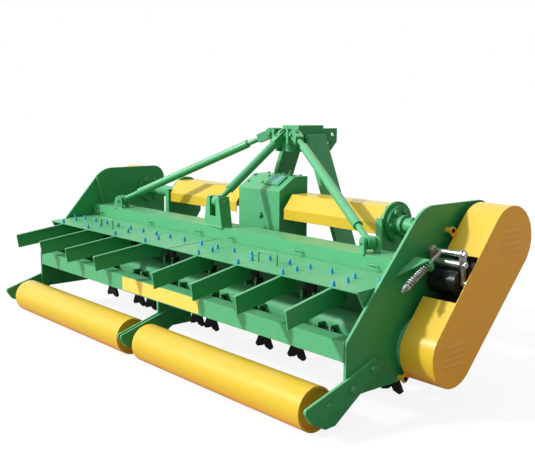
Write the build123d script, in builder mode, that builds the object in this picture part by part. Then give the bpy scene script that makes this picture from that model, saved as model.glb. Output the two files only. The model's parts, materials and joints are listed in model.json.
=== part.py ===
from build123d import *
import os
from math import acos, atan2, cos, degrees, hypot, pi, radians, sin

# Straw chopper carried on a tractor's three-point hitch.
# Millimetres, +X to the machine's right, +Y towards the tractor, +Z up, ground at Z = 0.
# Stations are distances ahead of the roller axis, heights are above the ground.

# Overall and fits
inner_width = 2340.0
plate_t = 12.0
arm_tip = 108.0
fit = 0.05
seat_gap = 0.3
inner_half = inner_width / 2
outer_half = inner_half + plate_t

# Rotor and its flails
rotor_station = 476.0
rotor_height = 237.0
rotor_tube_r = 72.0
rotor_tube_wall = 10.0
rotor_end_gap = 12.0
rotor_stub_r = 30.0
flail_tip_r = 212.0
flail_stem = 60.0
flail_spread = 112.0
flail_t = 14.0
flail_root_r = 84.0
flail_knee_r = 150.0
flail_bevel = 12.0
flail_edge = 90.0
notch_half = 14.0
notch_rise = 8.0
notch_depth = 28.0
lug_t = 12.0
lug_depth = 44.0
lug_top_r = 112.0
# Each row: degrees from straight down, then the X of its flails
flail_rows = (
    (0, (-1047, -760, -640, -215, -95, 308, 527, 1072)),
    (90, (-960, -560, -320, 120, 420, 700, 930)),
    (180, (-1047, -820, -440, -120, 230, 610, 1010)),
    (270, (-900, -600, -250, 85, 360, 800, 1072)),
)

# Main places along the machine, set out from the rotor
front_plate = rotor_station + flail_tip_r + 102.0
shaft_station = front_plate + 28.0
shaft_height = 625.0
hitch_beam_station = front_plate + 222.0
hitch_height = 378.0
head_front = hitch_beam_station + 174.0
roller_y = (arm_tip - head_front) / 2

# Side plates
plate_rear = 95.0
plate_front = shaft_station + 107.0
plate_bottom = 115.0
plate_top = shaft_height + 140.0
plate_knee = 313.0
plate_crest = 497.0
plate_toe_height = 330.0
plate_rear_round = 145.0
plate_front_round = 75.0
bearing_hole_r = 66.0
shaft_hole_r = 50.0

# Cross shaft, pulleys and V-belts
shaft_r = 25.0
lower_pulley_r = 95.0
upper_pulley_r = 108.0
pulley_in = outer_half + 32.0
pulley_width = 108.0
pulley_out = pulley_in + pulley_width
pulley_rim = 22.0
pulley_web = 30.0
pulley_hub = 22.0
belt_count = 4
belt_pitch = 25.0
belt_t = 14.0
belt_top = 20.0
belt_root = 12.0
belt_gap = 0.4
groove_depth = 12.0

# Tensioner, placed by shares of the line from rotor to cross shaft and distances to its rear side
idler_share = 0.464
idler_across = 110.0
idler_r = 52.0
idler_in = pulley_in - 7.0
idler_out = pulley_out + 3.0
pivot_share = 0.607
pivot_across = 194.0
pivot_r = 10.0
pivot_boss_r = 17.0
pivot_boss = 10.0
tension_arm_t = 8.0
upper_link_width = 36.0
lower_link_width = 24.0
cross_tube_share = 0.36
cross_tube_r = 14.0
arm_inner_x = idler_in - tension_arm_t - 3.0
arm_outer_x = idler_out + 4.0
spring_x = outer_half + 58.0
spring_rod_r = 7.0
spring_r = 15.0
coil_count = 10
coil_depth = 5.0
rod_back = 212.0
rod_drop = 118.0
rod_nut = 10.0
rod_tail = 8.0
anchor_along = 85.0
anchor_t = 10.0
anchor_half = 25.0
shelf_length = 125.0
shelf_reach = 74.0
shelf_t = 6.0

# Belt guards
guard_clear = 14.0
guard_t = 3.0
guard_in = outer_half + 25.0
guard_out = arm_outer_x + tension_arm_t + 18.0 + guard_t
guard_lower_r = lower_pulley_r + belt_t + guard_clear
guard_upper_r = upper_pulley_r + belt_t + guard_clear
cut_from = 0.287
cut_to = 0.671
cut_inner = 47.0
cut_depth = 120.0
lug_r = 16.0
lug_plate = 6.0
pillar_r = 11.0
# Share of the drive line, degrees from its direction, and how far each lug stands out of the guard
guard_lugs = ((0.83, 90.0, 25.0), (0.0, 180.0, 17.0), (0.5, -90.0, 17.0))
louvre_count = 4
louvre_pitch = 24.0
louvre_length = 120.0
louvre_width = 12.0
louvre_rise = 3.0
louvre_taper = 40.0

# Hood, rear covers and rear beam
hood_t = 8.0
ridge = 441.0
ridge_height = 557.0
flat_end = ridge + 134.0
front_shoulder = 380.0
front_bottom = 190.0
cover_t = 6.0
cover_front = ridge - 4.0
cover_front_height = ridge_height - 59.0
cover_rear = cover_front - 277.0
cover_rear_height = cover_front_height - 13.5
cover_lap = 90.0
cover_side_gap = 2.0
cover_slope = (cover_front_height - cover_rear_height) / (cover_front - cover_rear)
seam = 2.0
gusset_rear = cover_rear + 3.0
gusset_length = 88.0
gusset_toe = 33.0
gusset_drop = 58.0
beam_rear = plate_rear - 1.0
beam_bottom = 244.0
beam_top = beam_bottom + 73.0
beam_depth = 70.0
beam_wall = 6.0

# Guide vanes under the rear covers
vane_first = 215.0
vane_pitch = 275.0
vane_edge = 125.0
vane_count = 1 + int((inner_half - vane_edge - vane_first) // vane_pitch)
vane_rear = -92.0
vane_front = cover_rear + 90.0
vane_splay = 0.119
vane_height = 75.0
vane_flange = 32.0
vane_t = 8.0

# Rollers and their arms
roller_r = 84.0
roller_wall = 8.0
roller_end_x = inner_half - 40.0
roller_inner_x = 65.0
roller_disc = 12.0
roller_recess = 12.0
axle_r = 22.0
axle_split = 2.0
arm_t = 12.0
arm_boss_r = 46.0
arm_boss = 34.0
middle_arm_t = 10.0
middle_boss = 26.0
partition_front = 288.0
partition_lean = 12.0
partition_knee = 192.0
partition_toe = 174.0
partition_bottom = 121.0
# Stations and heights round a roller arm, from its blunt rear end under the roller to its bolted front
arm_outline = (
    (-arm_tip, 124), (-arm_tip, 108), (-81, 69), (-15, 33), (34, 35), (159, 120), (262, 172), (282, 214),
    (240, 238), (110, 191),
)
arm_round = 8.0

# Bearings
rotor_flange_r = 112.0
rotor_flange = 16.0
rotor_hub_r = 62.0
rotor_hub = 24.0
bracket_x = inner_half - 391.0
bracket_t = 12.0
bracket_r = 100.0
bracket_rear = 126.0
bracket_lip = 32.0
bracket_lip_t = 10.0
bracket_lip_rise = 37.0
flange_r = 80.0
flange_t = 14.0
hub_r = 45.0
hub_t = 35.0
tube_r = 33.0
tube_wall = 6.0
plate_boss_r = 76.0
plate_boss = 12.0

# Gearbox, input shaft and shaft guards
gearbox_half = 154.0
gearbox_rear = shaft_station - 118.0
gearbox_crest = shaft_station - 18.0
gearbox_front = shaft_station + 68.0
gearbox_top = shaft_height + 163.0
gearbox_shoulder = shaft_height + 97.0
gearbox_foot = shaft_height - 155.0
gearbox_cap_r = 70.0
gearbox_cap = 22.0
pto_r = 17.45
pto_end = gearbox_front + 149.0
pto_seat = gearbox_front - 36.0
pto_journal_r = 22.0
pto_journal_end = gearbox_front + 6.0
pto_guard_r = 57.0
pto_guard_wall = 4.0
pto_guard_end = pto_end + 15.0
shaft_guard_in = gearbox_half + gearbox_cap + 7.0
shaft_guard_half = 114.0
shaft_guard_flat = 61.0
shaft_guard_low = shaft_height - 34.0
shaft_guard_fold = shaft_height + 15.0
shaft_guard_top = shaft_height + 83.0
shaft_guard_t = 4.0

# Mast and lower hitch
head_half = 60.0
head_t = 16.0
mast_clear = 230.0
head_top = gearbox_top + mast_clear
head_bottom = head_top - 116.0
head_nose_height = head_top - 71.0
head_rear = head_front - 348.0
head_chin = head_front - 46.0
head_heel = head_rear + 30.0
head_cover_rear = head_rear + 72.0
head_cover_front = head_rear + 247.0
head_web = head_rear + 52.0
top_link_hole = (head_front - 30.0, head_top - 30.0)
top_link_r = 12.9
second_hole = (head_front - 57.0, head_top - 74.0)
second_hole_r = 10.0
leg_t = 25.0
leg_rear = hitch_beam_station - 62.0
leg_front = hitch_beam_station + 63.0
leg_top = head_top - 28.0
leg_slope = 0.42
hitch_beam_size = 100.0
hitch_beam_wall = 8.0
hitch_shoulder = 412.5
hitch_plate_t = 20.0
hitch_pin_r = 14.0
hitch_pin = 85.0
hitch_plate_rise = 100.0

# Braces from the mast head to the hood
brace_tube_r = 21.0
brace_rod_r = 13.0
side_rods = (70.0, 96.0)
middle_rods = (0.0, 51.0)
brace_pin_r = 11.0
brace_pin_gap = 0.2
fork_cheek = 12.0
fork_back = 22.0
fork_throat = 36.0
fork_root = 70.0
lug_half = 8.0
lug_eye_r = 30.0
lug_reach = 52.0
eye_r = 27.0
eye_neck = 34.0
eye_half = 16.0
ear_gap = 8.0
ear_t = 12.0
ear_foot = 27.0
ear_top_r = 24.0
brace_top_x = head_half + 32.0
brace_top = head_rear + 20.0
brace_foot_x = inner_half - 235.0
middle_foot_x = -33.0
# Top X, station and height, then bottom X, station and height
side_top = (brace_top_x, brace_top, head_top - 27.0)
side_foot = (brace_foot_x, ridge + 39.0, ridge_height + 42.0)
brace_ends = {
    "right": (side_top, side_foot),
    "middle": ((0.0, brace_top, head_top - 33.0), (middle_foot_x, ridge + 29.0, ridge_height + 119.0)),
    "left": ((-side_top[0], *side_top[1:]), (-side_foot[0], *side_foot[1:])),
}
# Bare rod of each brace above and below its tube
brace_rods = {"right": side_rods, "middle": middle_rods, "left": side_rods}
# Bracket that takes the middle brace
middle_depth = 60.0
middle_top_half = 51.0
middle_foot_half = 80.0
middle_wall = 12.0
middle_slot = 26.0
middle_web_drop = 70.0
middle_pin = 116.0

# Parking stands
stand_x = inner_half - 470.0
stand_pivot = front_bottom + 140.0
stand_tube = 50.0
stand_wall = 5.0
stand_head = 30.0
stand_pin_r = 10.0
stand_plate = 8.0
stand_gap = 6.0
stand_bracket_half = 60.0
stand_bracket_up = 48.0
stand_bracket_down = 95.0
stand_stop_drop = 45.0
foot_length = 140.0
foot_width = 100.0
foot_t = 10.0
foot_shift = 20.0

# Cover handles
handle_x = (inner_half / 2, -inner_half / 2 - 122.0)
handle_station = cover_rear + 90.0
handle_span = 115.0
handle_height = 45.0
handle_r = 4.0
handle_bend = 12.0

os.makedirs("parts", exist_ok=True)


def at(station, height):
    """Point of a side view, in the YZ plane."""
    return (roller_y + station, height)


def write(part, name):
    part.label = name
    export_step(part, f"parts/{name}.step")


def write_pair(right, name):
    """Writes a right-hand piece and its mirror image."""
    write(right, f"{name}_right")
    with BuildPart() as left:
        mirror(right, about=Plane.YZ)
    write(left.part, f"{name}_left")


def write_both(right, name):
    """Writes a right-hand piece and its mirror image as one node."""
    with BuildPart() as both:
        add(right)
        mirror(right, about=Plane.YZ)
    write(both.part, name)


def outline(points):
    """Face through points given as stations and heights."""
    with BuildLine() as edge:
        Polyline([at(*point) for point in points], close=True)
    make_face(edge.edges())


def folded_sheet(points, thickness):
    """Face of a bent sheet whose outer side runs forward through the points, mitred at the folds."""
    corners = [Vector(*point) for point in points]
    normals = []
    for start, end in zip(corners, corners[1:]):
        along = (end - start).normalized()
        normals.append(Vector(along.Y, -along.X))
    inner = []
    for corner, before, after in zip(corners, normals[:1] + normals, normals + normals[-1:]):
        inner.append(corner + (before + after) * (thickness / (1 + before.dot(after))))
    outline([(corner.X, corner.Y) for corner in corners + inner[::-1]])


def turned(station, height, steps):
    """Solid of revolution about an X line; a step is (x from, x to, inner radius, outer radius)."""
    centre = (0, roller_y + station, height)
    with BuildPart() as piece:
        with BuildSketch(Plane(origin=centre, x_dir=(1, 0, 0), z_dir=(0, -1, 0))):
            for x_from, x_to, r_in, r_out in steps:
                with Locations(((x_from + x_to) / 2, (r_in + r_out) / 2)):
                    Rectangle(x_to - x_from, r_out - r_in)
        revolve(axis=Axis(centre, (1, 0, 0)))
    return piece.part


def belt_line(circles):
    """Draws a closed belt line round circles (station, height, radius) taken anticlockwise.
    A negative radius is a wheel that presses on the belt's outside."""
    runs = []
    for number, (y1, z1, r1) in enumerate(circles):
        y2, z2, r2 = circles[(number + 1) % len(circles)]
        normal = atan2(z2 - z1, y2 - y1) - acos((r1 - r2) / hypot(y2 - y1, z2 - z1))
        leave = at(y1 + r1 * cos(normal), z1 + r1 * sin(normal))
        arrive = at(y2 + r2 * cos(normal), z2 + r2 * sin(normal))
        runs.append((leave, arrive, normal))
    for number, (leave, arrive, normal) in enumerate(runs):
        following = (number + 1) % len(runs)
        y2, z2, r2 = circles[following]
        turn = (runs[following][2] - normal) % (2 * pi)
        if r2 < 0:
            turn -= 2 * pi
        middle = normal + turn / 2
        Line(leave, arrive)
        ThreePointArc(arrive, at(y2 + r2 * cos(middle), z2 + r2 * sin(middle)), runs[following][0])


# The drive line runs from the rotor to the cross shaft
drive_run = Vector(shaft_station - rotor_station, shaft_height - rotor_height)


def on_drive(share, across):
    """Station and height at a share of the drive line, and at a distance to its rear side."""
    place = Vector(rotor_station, rotor_height) + drive_run * share
    place += Vector(-drive_run.Y, drive_run.X).normalized() * across
    return (place.X, place.Y)


def drive_plane(x):
    """Plane across X whose own axes run along the drive line and to its rear side."""
    centre = (x, *at(rotor_station, rotor_height))
    return Plane(origin=centre, x_dir=(0, drive_run.X, drive_run.Y), z_dir=(1, 0, 0))


def link(start, end, width):
    """Flat link with round ends between two places of a side view."""
    run = Vector(*end) - Vector(*start)
    with Locations(at((start[0] + end[0]) / 2, (start[1] + end[1]) / 2)):
        SlotCenterToCenter(run.length, width, rotation=degrees(atan2(run.Y, run.X)))


def cover_top(station):
    """Height of the rear cover's upper face, carried on past its edges."""
    return cover_rear_height + cover_slope * (station - cover_rear)


def cover_underside(station):
    """Height of the rear cover's lower face, carried on past its edges."""
    return cover_top(station) - cover_t * hypot(1, cover_slope)


def front_slope(station):
    """Height of the hood's sloping front face."""
    return ridge_height - (ridge_height - front_shoulder) * (station - flat_end) / (front_plate - flat_end)


# Side plates
with BuildPart() as side_plate:
    with BuildSketch(Plane.YZ.offset(inner_half)) as side_face:
        outline((
            (plate_rear, plate_bottom), (plate_rear, plate_knee), (plate_crest, plate_top),
            (plate_front, plate_top), (plate_front, plate_toe_height), (front_plate, plate_bottom),
        ))
        top_corners = side_face.vertices().group_by(Axis.Y)[-1].sort_by(Axis.X)
        fillet(top_corners[0], plate_rear_round)
        fillet(side_face.vertices().group_by(Axis.Y)[-1].sort_by(Axis.X)[-1], plate_front_round)
        with Locations(at(rotor_station, rotor_height)):
            Circle(bearing_hole_r, mode=Mode.SUBTRACT)
        with Locations(at(shaft_station, shaft_height)):
            Circle(shaft_hole_r, mode=Mode.SUBTRACT)
    extrude(amount=plate_t)
write_pair(side_plate.part, "side_plate")

# Hood: lap under the covers, rear wall, flat top, front slope and front plate
with BuildPart() as hood:
    with BuildSketch(Plane.YZ.offset(-inner_half)):
        folded_sheet((
            (cover_front - cover_lap, cover_underside(cover_front - cover_lap)),
            (ridge, cover_underside(ridge)), (ridge, ridge_height),
            (flat_end, ridge_height), (front_plate, front_shoulder), (front_plate, front_bottom),
        ), hood_t)
    extrude(amount=inner_width)
write(hood.part, "hood")

# Rear covers, one each side of the middle seam, with a gusset under the outer end
with BuildPart() as rear_cover:
    with BuildSketch(Plane.YZ.offset(seam / 2)):
        folded_sheet([(station, cover_top(station)) for station in (cover_rear, cover_front - seam)], cover_t)
    extrude(amount=inner_half - cover_side_gap - seam / 2)
    with BuildSketch(Plane.YZ.offset(inner_half - cover_side_gap - cover_t)):
        outline((
            (gusset_rear, cover_underside(gusset_rear)),
            (gusset_rear + gusset_length, cover_underside(gusset_rear + gusset_length)),
            (gusset_rear + gusset_toe, cover_underside(gusset_rear) - gusset_drop),
        ))
    extrude(amount=cover_t)
write_pair(rear_cover.part, "rear_cover")

# Rear beam, a square tube between the side plates
with BuildPart() as rear_beam:
    with BuildSketch(Plane.YZ.offset(-inner_half)):
        with Locations(at(beam_rear + beam_depth / 2, (beam_bottom + beam_top) / 2)):
            Rectangle(beam_depth, beam_top - beam_bottom)
            Rectangle(beam_depth - 2 * beam_wall, beam_top - beam_bottom - 2 * beam_wall, mode=Mode.SUBTRACT)
    extrude(amount=inner_width)
write(rear_beam.part, "rear_beam")

# Guide vanes, angle sections that lie against the covers' lower faces and splay outwards
with BuildPart() as guide_vanes:
    for number in range(vane_count):
        bolt_x = vane_first + vane_pitch * number
        front_x = bolt_x - vane_splay * (vane_front - cover_rear)
        rear_x = bolt_x + vane_splay * (cover_rear - vane_rear)
        front_end = Vector(front_x, roller_y + vane_front, cover_underside(vane_front))
        rear_end = Vector(rear_x, roller_y + vane_rear, cover_underside(vane_rear))
        along = rear_end - front_end
        cover_normal = Vector(0, -cover_slope, 1)
        with BuildSketch(Plane(origin=front_end, x_dir=cover_normal.cross(along), z_dir=along)):
            with Locations((0, -vane_height / 2)):
                Rectangle(vane_t, vane_height)
            with Locations((-vane_flange / 2, -vane_t / 2)):
                Rectangle(vane_flange, vane_t)
        extrude(amount=along.length)
write_both(guide_vanes.part, "guide_vanes")

# Outer roller arms on the outside of the side plates
with BuildPart() as roller_arm:
    with BuildSketch(Plane.YZ.offset(outer_half)) as arm_face:
        outline(arm_outline)
        fillet(arm_face.vertices(), arm_round)
    extrude(amount=arm_t)
    add(turned(0, roller_r, [(outer_half - arm_boss, outer_half, 0, arm_boss_r)]))
    with Locations(Location((outer_half, roller_y, roller_r), (0, 90, 0))):
        Cylinder(axle_r + fit, 2 * (arm_boss + arm_t), mode=Mode.SUBTRACT)
write_pair(roller_arm.part, "roller_arm")

# Middle roller arm: two plates that clasp the plate under the beam, with the bearing boss between them
boss_half = plate_t / 2 + middle_arm_t + middle_boss
with BuildPart() as middle_arm:
    for arm_x in (plate_t / 2, -plate_t / 2 - middle_arm_t):
        with BuildSketch(Plane.YZ.offset(arm_x)) as middle_face:
            outline(arm_outline)
            fillet(middle_face.vertices(), arm_round)
        extrude(amount=middle_arm_t)
    add(turned(0, roller_r, [(-boss_half, boss_half, 0, arm_boss_r)]))
    with BuildSketch(Plane.YZ.offset(-plate_t / 2)):
        outline((
            (plate_rear, beam_bottom), (plate_rear, partition_knee), (partition_toe, partition_bottom),
            (partition_front - partition_lean, partition_bottom), (partition_front, beam_bottom),
        ))
    extrude(amount=plate_t)
    with Locations(Location((0, roller_y, roller_r), (0, 90, 0))):
        Cylinder(axle_r + fit, 2 * boss_half, mode=Mode.SUBTRACT)
write(middle_arm.part, "roller_arm_middle")

# Rollers: tube, two end discs and the axle that runs in the arms
roller = turned(0, roller_r, [
    (axle_split / 2, outer_half + arm_t, 0, axle_r),
    (roller_inner_x, roller_end_x, roller_r - roller_wall, roller_r),
    (roller_inner_x + roller_recess, roller_inner_x + roller_recess + roller_disc, 0, roller_r),
    (roller_end_x - roller_recess - roller_disc, roller_end_x - roller_recess, 0, roller_r),
])
write_pair(roller, "roller")


def flail_places():
    """Plane of each row of flails, and the X of each flail that fits between the side plates."""
    for turn, row in flail_rows:
        hub = Plane(origin=(0, *at(rotor_station, rotor_height))).rotated((turn, 0, 0))
        for flail_x in row:
            if abs(flail_x) < inner_half - flail_edge:
                yield hub, flail_x


# Rotor tube with end discs, stub shafts and the lugs that hold the flails
rotor_half = inner_half - rotor_end_gap
with BuildPart() as rotor_tube:
    add(turned(rotor_station, rotor_height, [
        (-rotor_half, rotor_half, rotor_tube_r - rotor_tube_wall, rotor_tube_r),
        (-rotor_half, -rotor_half + plate_t, 0, rotor_tube_r),
        (rotor_half - plate_t, rotor_half, 0, rotor_tube_r),
        (rotor_half - plate_t, pulley_out, 0, rotor_stub_r),
        (-pulley_out, plate_t - rotor_half, 0, rotor_stub_r),
    ]))
    for hub, flail_x in flail_places():
        for side in (-1, 1):
            lug_x = flail_x + side * (flail_stem + lug_t) / 2
            lug_z = -(lug_top_r + rotor_tube_r - rotor_tube_wall / 2) / 2
            with Locations(hub * Location((lug_x, 0, lug_z))):
                Box(lug_t, lug_depth, lug_top_r - rotor_tube_r + rotor_tube_wall / 2)
write(rotor_tube.part, "rotor_tube")

# Flails: forked blades between the lugs
flail_half = flail_stem / 2
spread_half = flail_spread / 2
with BuildPart() as flails:
    for hub, flail_x in flail_places():
        blade = Plane(hub * Location((flail_x, flail_t / 2, 0), (90, 0, 0)))
        with BuildSketch(blade):
            with BuildLine():
                Polyline(
                    (-flail_half, -flail_root_r), (-flail_half, -flail_knee_r),
                    (-spread_half, flail_bevel - flail_tip_r), (flail_bevel - spread_half, -flail_tip_r),
                    (-notch_half, notch_rise - flail_tip_r), (0, notch_depth - flail_tip_r),
                    (notch_half, notch_rise - flail_tip_r), (spread_half - flail_bevel, -flail_tip_r),
                    (spread_half, flail_bevel - flail_tip_r), (flail_half, -flail_knee_r),
                    (flail_half, -flail_root_r), close=True,
                )
            make_face()
        extrude(amount=flail_t)
write(flails.part, "flails")

# Rotor bearing housings on the outside of the side plates
rotor_bearing = turned(rotor_station, rotor_height, [
    (outer_half, outer_half + rotor_flange, rotor_stub_r + fit, rotor_flange_r),
    (outer_half, outer_half + rotor_hub, rotor_stub_r + fit, rotor_hub_r),
])
write_both(rotor_bearing, "rotor_bearings")

# Pulleys, and the places of the belts in their grooves
pulley_middle = pulley_in + pulley_width / 2
first_belt = pulley_middle - belt_pitch * (belt_count - 1) / 2
belt_places = [first_belt + belt_pitch * number for number in range(belt_count)]
belt_flare = (belt_top - belt_root) / 2 / belt_t


def pulley(station, height, radius, bore):
    """Grooved rim, web and hub of a right-hand V-belt pulley, by its radius under the belts."""
    centre = (0, *at(station, height))
    rim = radius + groove_depth
    web_half = pulley_web / 2
    root_half = belt_root / 2 + belt_gap
    rim_half = root_half + belt_flare * groove_depth
    with BuildPart() as piece:
        add(turned(station, height, [
            (pulley_in, pulley_out, radius - pulley_rim, rim),
            (pulley_middle - web_half, pulley_middle + web_half, bore + fit, radius - pulley_rim / 2),
            (pulley_in, pulley_out, bore + fit, bore + pulley_hub),
        ]))
        with BuildSketch(Plane(origin=centre, x_dir=(1, 0, 0), z_dir=(0, -1, 0))):
            for belt_x in belt_places:
                with BuildLine():
                    Polyline(
                        (belt_x - root_half, radius), (belt_x + root_half, radius), (belt_x + rim_half, rim),
                        (belt_x - rim_half, rim), close=True,
                    )
                make_face()
        revolve(axis=Axis(centre, (1, 0, 0)), mode=Mode.SUBTRACT)
    return piece.part


write_both(pulley(rotor_station, rotor_height, lower_pulley_r, rotor_stub_r), "lower_pulleys")
write_both(pulley(shaft_station, shaft_height, upper_pulley_r, shaft_r), "upper_pulleys")

# Cross shaft from pulley to pulley through the gearbox
cross_shaft = turned(shaft_station, shaft_height, [(-pulley_out, pulley_out, 0, shaft_r)])
write(cross_shaft, "cross_shaft")

# V-belts side by side in the pulleys' grooves, pressed in by the idler
idler_axis = on_drive(idler_share, idler_across)
belt_wheels = (
    (rotor_station, rotor_height, lower_pulley_r + belt_gap),
    (shaft_station, shaft_height, upper_pulley_r + belt_gap),
    (*idler_axis, -idler_r - belt_gap - belt_t),
)
with BuildPart() as belts:
    for belt_x in belt_places:
        with BuildLine(Plane.YZ.offset(belt_x)) as belt_route:
            belt_line(belt_wheels)
        route = belt_route.wire()
        with BuildSketch(Plane(origin=route @ 0, x_dir=(1, 0, 0), z_dir=route % 0)):
            with BuildLine():
                Polyline(
                    (-belt_root / 2, 0), (belt_root / 2, 0), (belt_top / 2, belt_t), (-belt_top / 2, belt_t),
                    close=True,
                )
            make_face()
        sweep(path=route)
write_pair(belts.part, "belt")


def guard_wheels(inset):
    """The guard's two round ends as circles."""
    return (
        (rotor_station, rotor_height, guard_lower_r - inset),
        (shaft_station, shaft_height, guard_upper_r - inset),
    )


def guard_face(inset):
    """Face inside the guard's outline, drawn in by an inset."""
    with BuildLine() as edge:
        belt_line(guard_wheels(inset))
    make_face(edge.edges())


def lug_place(share, angle, overhang, inward=0.0):
    """Place of a guard lug on the drive plane, or one drawn in towards the drive line."""
    distance = guard_lower_r + (guard_upper_r - guard_lower_r) * share + overhang - inward
    along = drive_run.length * share + distance * cos(radians(angle))
    return (along, distance * sin(radians(angle)))


# Belt guards: shell open to the plate, with louvres, lugs on pillars and the tensioner's cut-out
with BuildPart() as belt_guard:
    with BuildSketch(Plane.YZ.offset(guard_in)):
        guard_face(0)
    extrude(amount=guard_out - guard_in)
    for share, angle, overhang in guard_lugs:
        with BuildSketch(drive_plane(guard_in)):
            with Locations(lug_place(share, angle, overhang, lug_r)):
                SlotCenterToCenter(2 * lug_r, 2 * lug_r, rotation=angle)
        extrude(amount=lug_plate)
    with BuildSketch(Plane.YZ.offset(guard_in)):
        guard_face(guard_t)
    extrude(amount=guard_out - guard_in - guard_t, mode=Mode.SUBTRACT)
    with BuildSketch(drive_plane(guard_in)):
        with Locations(((cut_from + cut_to) / 2 * drive_run.length, cut_inner + cut_depth / 2)):
            Rectangle((cut_to - cut_from) * drive_run.length, cut_depth)
    extrude(amount=guard_out - guard_in - guard_t, mode=Mode.SUBTRACT)
    for share, angle, overhang in guard_lugs:
        with BuildSketch(drive_plane(outer_half)):
            with Locations(lug_place(share, angle, overhang)):
                Circle(pillar_r)
        extrude(amount=guard_in - outer_half)
    with BuildSketch(Plane.YZ.offset(guard_out)):
        with Locations(at(rotor_station, rotor_height), at(shaft_station, shaft_height)):
            with GridLocations(louvre_length, louvre_pitch, 1, louvre_count):
                SlotOverall(louvre_length, louvre_width)
    extrude(amount=louvre_rise, taper=louvre_taper)
write_pair(belt_guard.part, "belt_guard")

# Tensioners: pivot rod, two arms, cross tube, idler axle and the spring's rod with its end nut
pivot_axis = on_drive(pivot_share, pivot_across)
rod_start = Vector(spring_x, *at(*pivot_axis))
rod_run = Vector(0, -rod_back, -rod_drop)
rod_way = rod_run.normalized()
tube_axis = [pivot + (idler - pivot) * cross_tube_share for pivot, idler in zip(pivot_axis, idler_axis)]


def rod_plane(distance):
    """Plane square to the spring's rod, at a distance from the pivot."""
    return Plane(origin=rod_start + rod_way * distance, x_dir=(1, 0, 0), z_dir=rod_way)


with BuildPart() as tensioner:
    add(turned(*pivot_axis, [
        (outer_half, arm_outer_x + tension_arm_t, 0, pivot_r),
        (outer_half, outer_half + pivot_boss, 0, pivot_boss_r),
    ]))
    add(turned(*tube_axis, [(arm_inner_x, arm_outer_x + tension_arm_t, 0, cross_tube_r)]))
    add(turned(*idler_axis, [(arm_inner_x, arm_outer_x + tension_arm_t, 0, pivot_r)]))
    for arm_x in (arm_inner_x, arm_outer_x):
        with BuildSketch(Plane.YZ.offset(arm_x)):
            link(pivot_axis, tube_axis, upper_link_width)
            link(tube_axis, idler_axis, lower_link_width)
        extrude(amount=tension_arm_t)
    with BuildSketch(rod_plane(0)):
        Circle(spring_rod_r)
    extrude(amount=rod_run.length)
    with BuildSketch(rod_plane(rod_run.length - rod_tail - rod_nut)):
        Circle(spring_r)
    extrude(amount=rod_nut)
write_pair(tensioner.part, "tensioner")

idler = turned(*idler_axis, [(idler_in, idler_out, pivot_r + fit, idler_r)])
write_both(idler, "idlers")

# Spring anchors: an eye plate square to the rod and the shelf that stiffens it
with BuildPart() as spring_anchor:
    with BuildSketch(rod_plane(anchor_along)):
        with Locations(((outer_half - spring_x) / 2, 0)):
            Rectangle(spring_x - outer_half, 2 * anchor_half)
        Circle(anchor_half)
        Circle(spring_rod_r + seat_gap, mode=Mode.SUBTRACT)
    extrude(amount=anchor_t)
    shelf_up = rod_way.cross(Vector(1, 0, 0))
    shelf_root = rod_start + rod_way * anchor_along + shelf_up * (anchor_half - shelf_t)
    shelf_origin = Vector(outer_half, shelf_root.Y, shelf_root.Z)
    with BuildSketch(Plane(origin=shelf_origin, x_dir=rod_way, z_dir=shelf_up)):
        with BuildLine():
            Polyline((0, 0), (shelf_length, 0), (0, shelf_reach), close=True)
        make_face()
    extrude(amount=shelf_t)
write_both(spring_anchor.part, "spring_anchors")

# Tension springs, with the coils drawn as ridges
spring_from = anchor_along + anchor_t + seat_gap
spring_length = rod_run.length - rod_tail - rod_nut - seat_gap - spring_from
spring_start = rod_start + rod_way * spring_from
spring_bore = spring_rod_r + seat_gap
coil_pitch = spring_length / coil_count
coils = []
for number in range(coil_count):
    coils += [(number * coil_pitch, spring_r - coil_depth), ((number + 0.5) * coil_pitch, spring_r)]
coils += [(spring_length, spring_r - coil_depth)]
with BuildPart() as tension_spring:
    with BuildSketch(Plane(origin=spring_start, x_dir=rod_way, z_dir=(1, 0, 0))):
        with BuildLine():
            Polyline((0, spring_bore), *coils, (spring_length, spring_bore), close=True)
        make_face()
    revolve(axis=Axis(spring_start, rod_way))
write_both(tension_spring.part, "tension_springs")

# Cross-shaft bearings: bracket on the hood with a lip, flange, hub, tube and the boss on the side plate
hub_x = bracket_x + bracket_t + flange_t
lip_rear = shaft_station - bracket_rear
lip_front = lip_rear + bracket_lip_t
lip_top = shaft_height + bracket_lip_rise
with BuildPart() as shaft_bearing:
    with BuildSketch(Plane.YZ.offset(bracket_x)):
        with Locations(at(shaft_station, shaft_height)):
            Circle(bracket_r)
        outline((
            (lip_rear, lip_top), (lip_rear, front_slope(lip_rear)),
            (front_plate, front_shoulder), (shaft_station, front_shoulder),
            (shaft_station + bracket_r, shaft_height - bracket_r), (shaft_station + bracket_r, shaft_height),
        ))
    extrude(amount=bracket_t)
    with BuildSketch(Plane.YZ.offset(bracket_x)):
        outline((
            (lip_rear, lip_top), (lip_rear, front_slope(lip_rear)),
            (lip_front, front_slope(lip_front)), (lip_front, lip_top),
        ))
    extrude(amount=bracket_lip)
    add(turned(shaft_station, shaft_height, [
        (bracket_x + bracket_t, hub_x, shaft_r + fit, flange_r),
        (hub_x, hub_x + hub_t, shaft_r + fit, hub_r),
        (hub_x + hub_t, inner_half, tube_r - tube_wall, tube_r),
        (inner_half - plate_boss, inner_half, tube_r - tube_wall, plate_boss_r),
    ]))
    with Locations(Location((bracket_x, roller_y + shaft_station, shaft_height), (0, 90, 0))):
        Cylinder(shaft_r + fit, 2 * (bracket_t + flange_t), mode=Mode.SUBTRACT)
write_both(shaft_bearing.part, "shaft_bearings")

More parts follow.
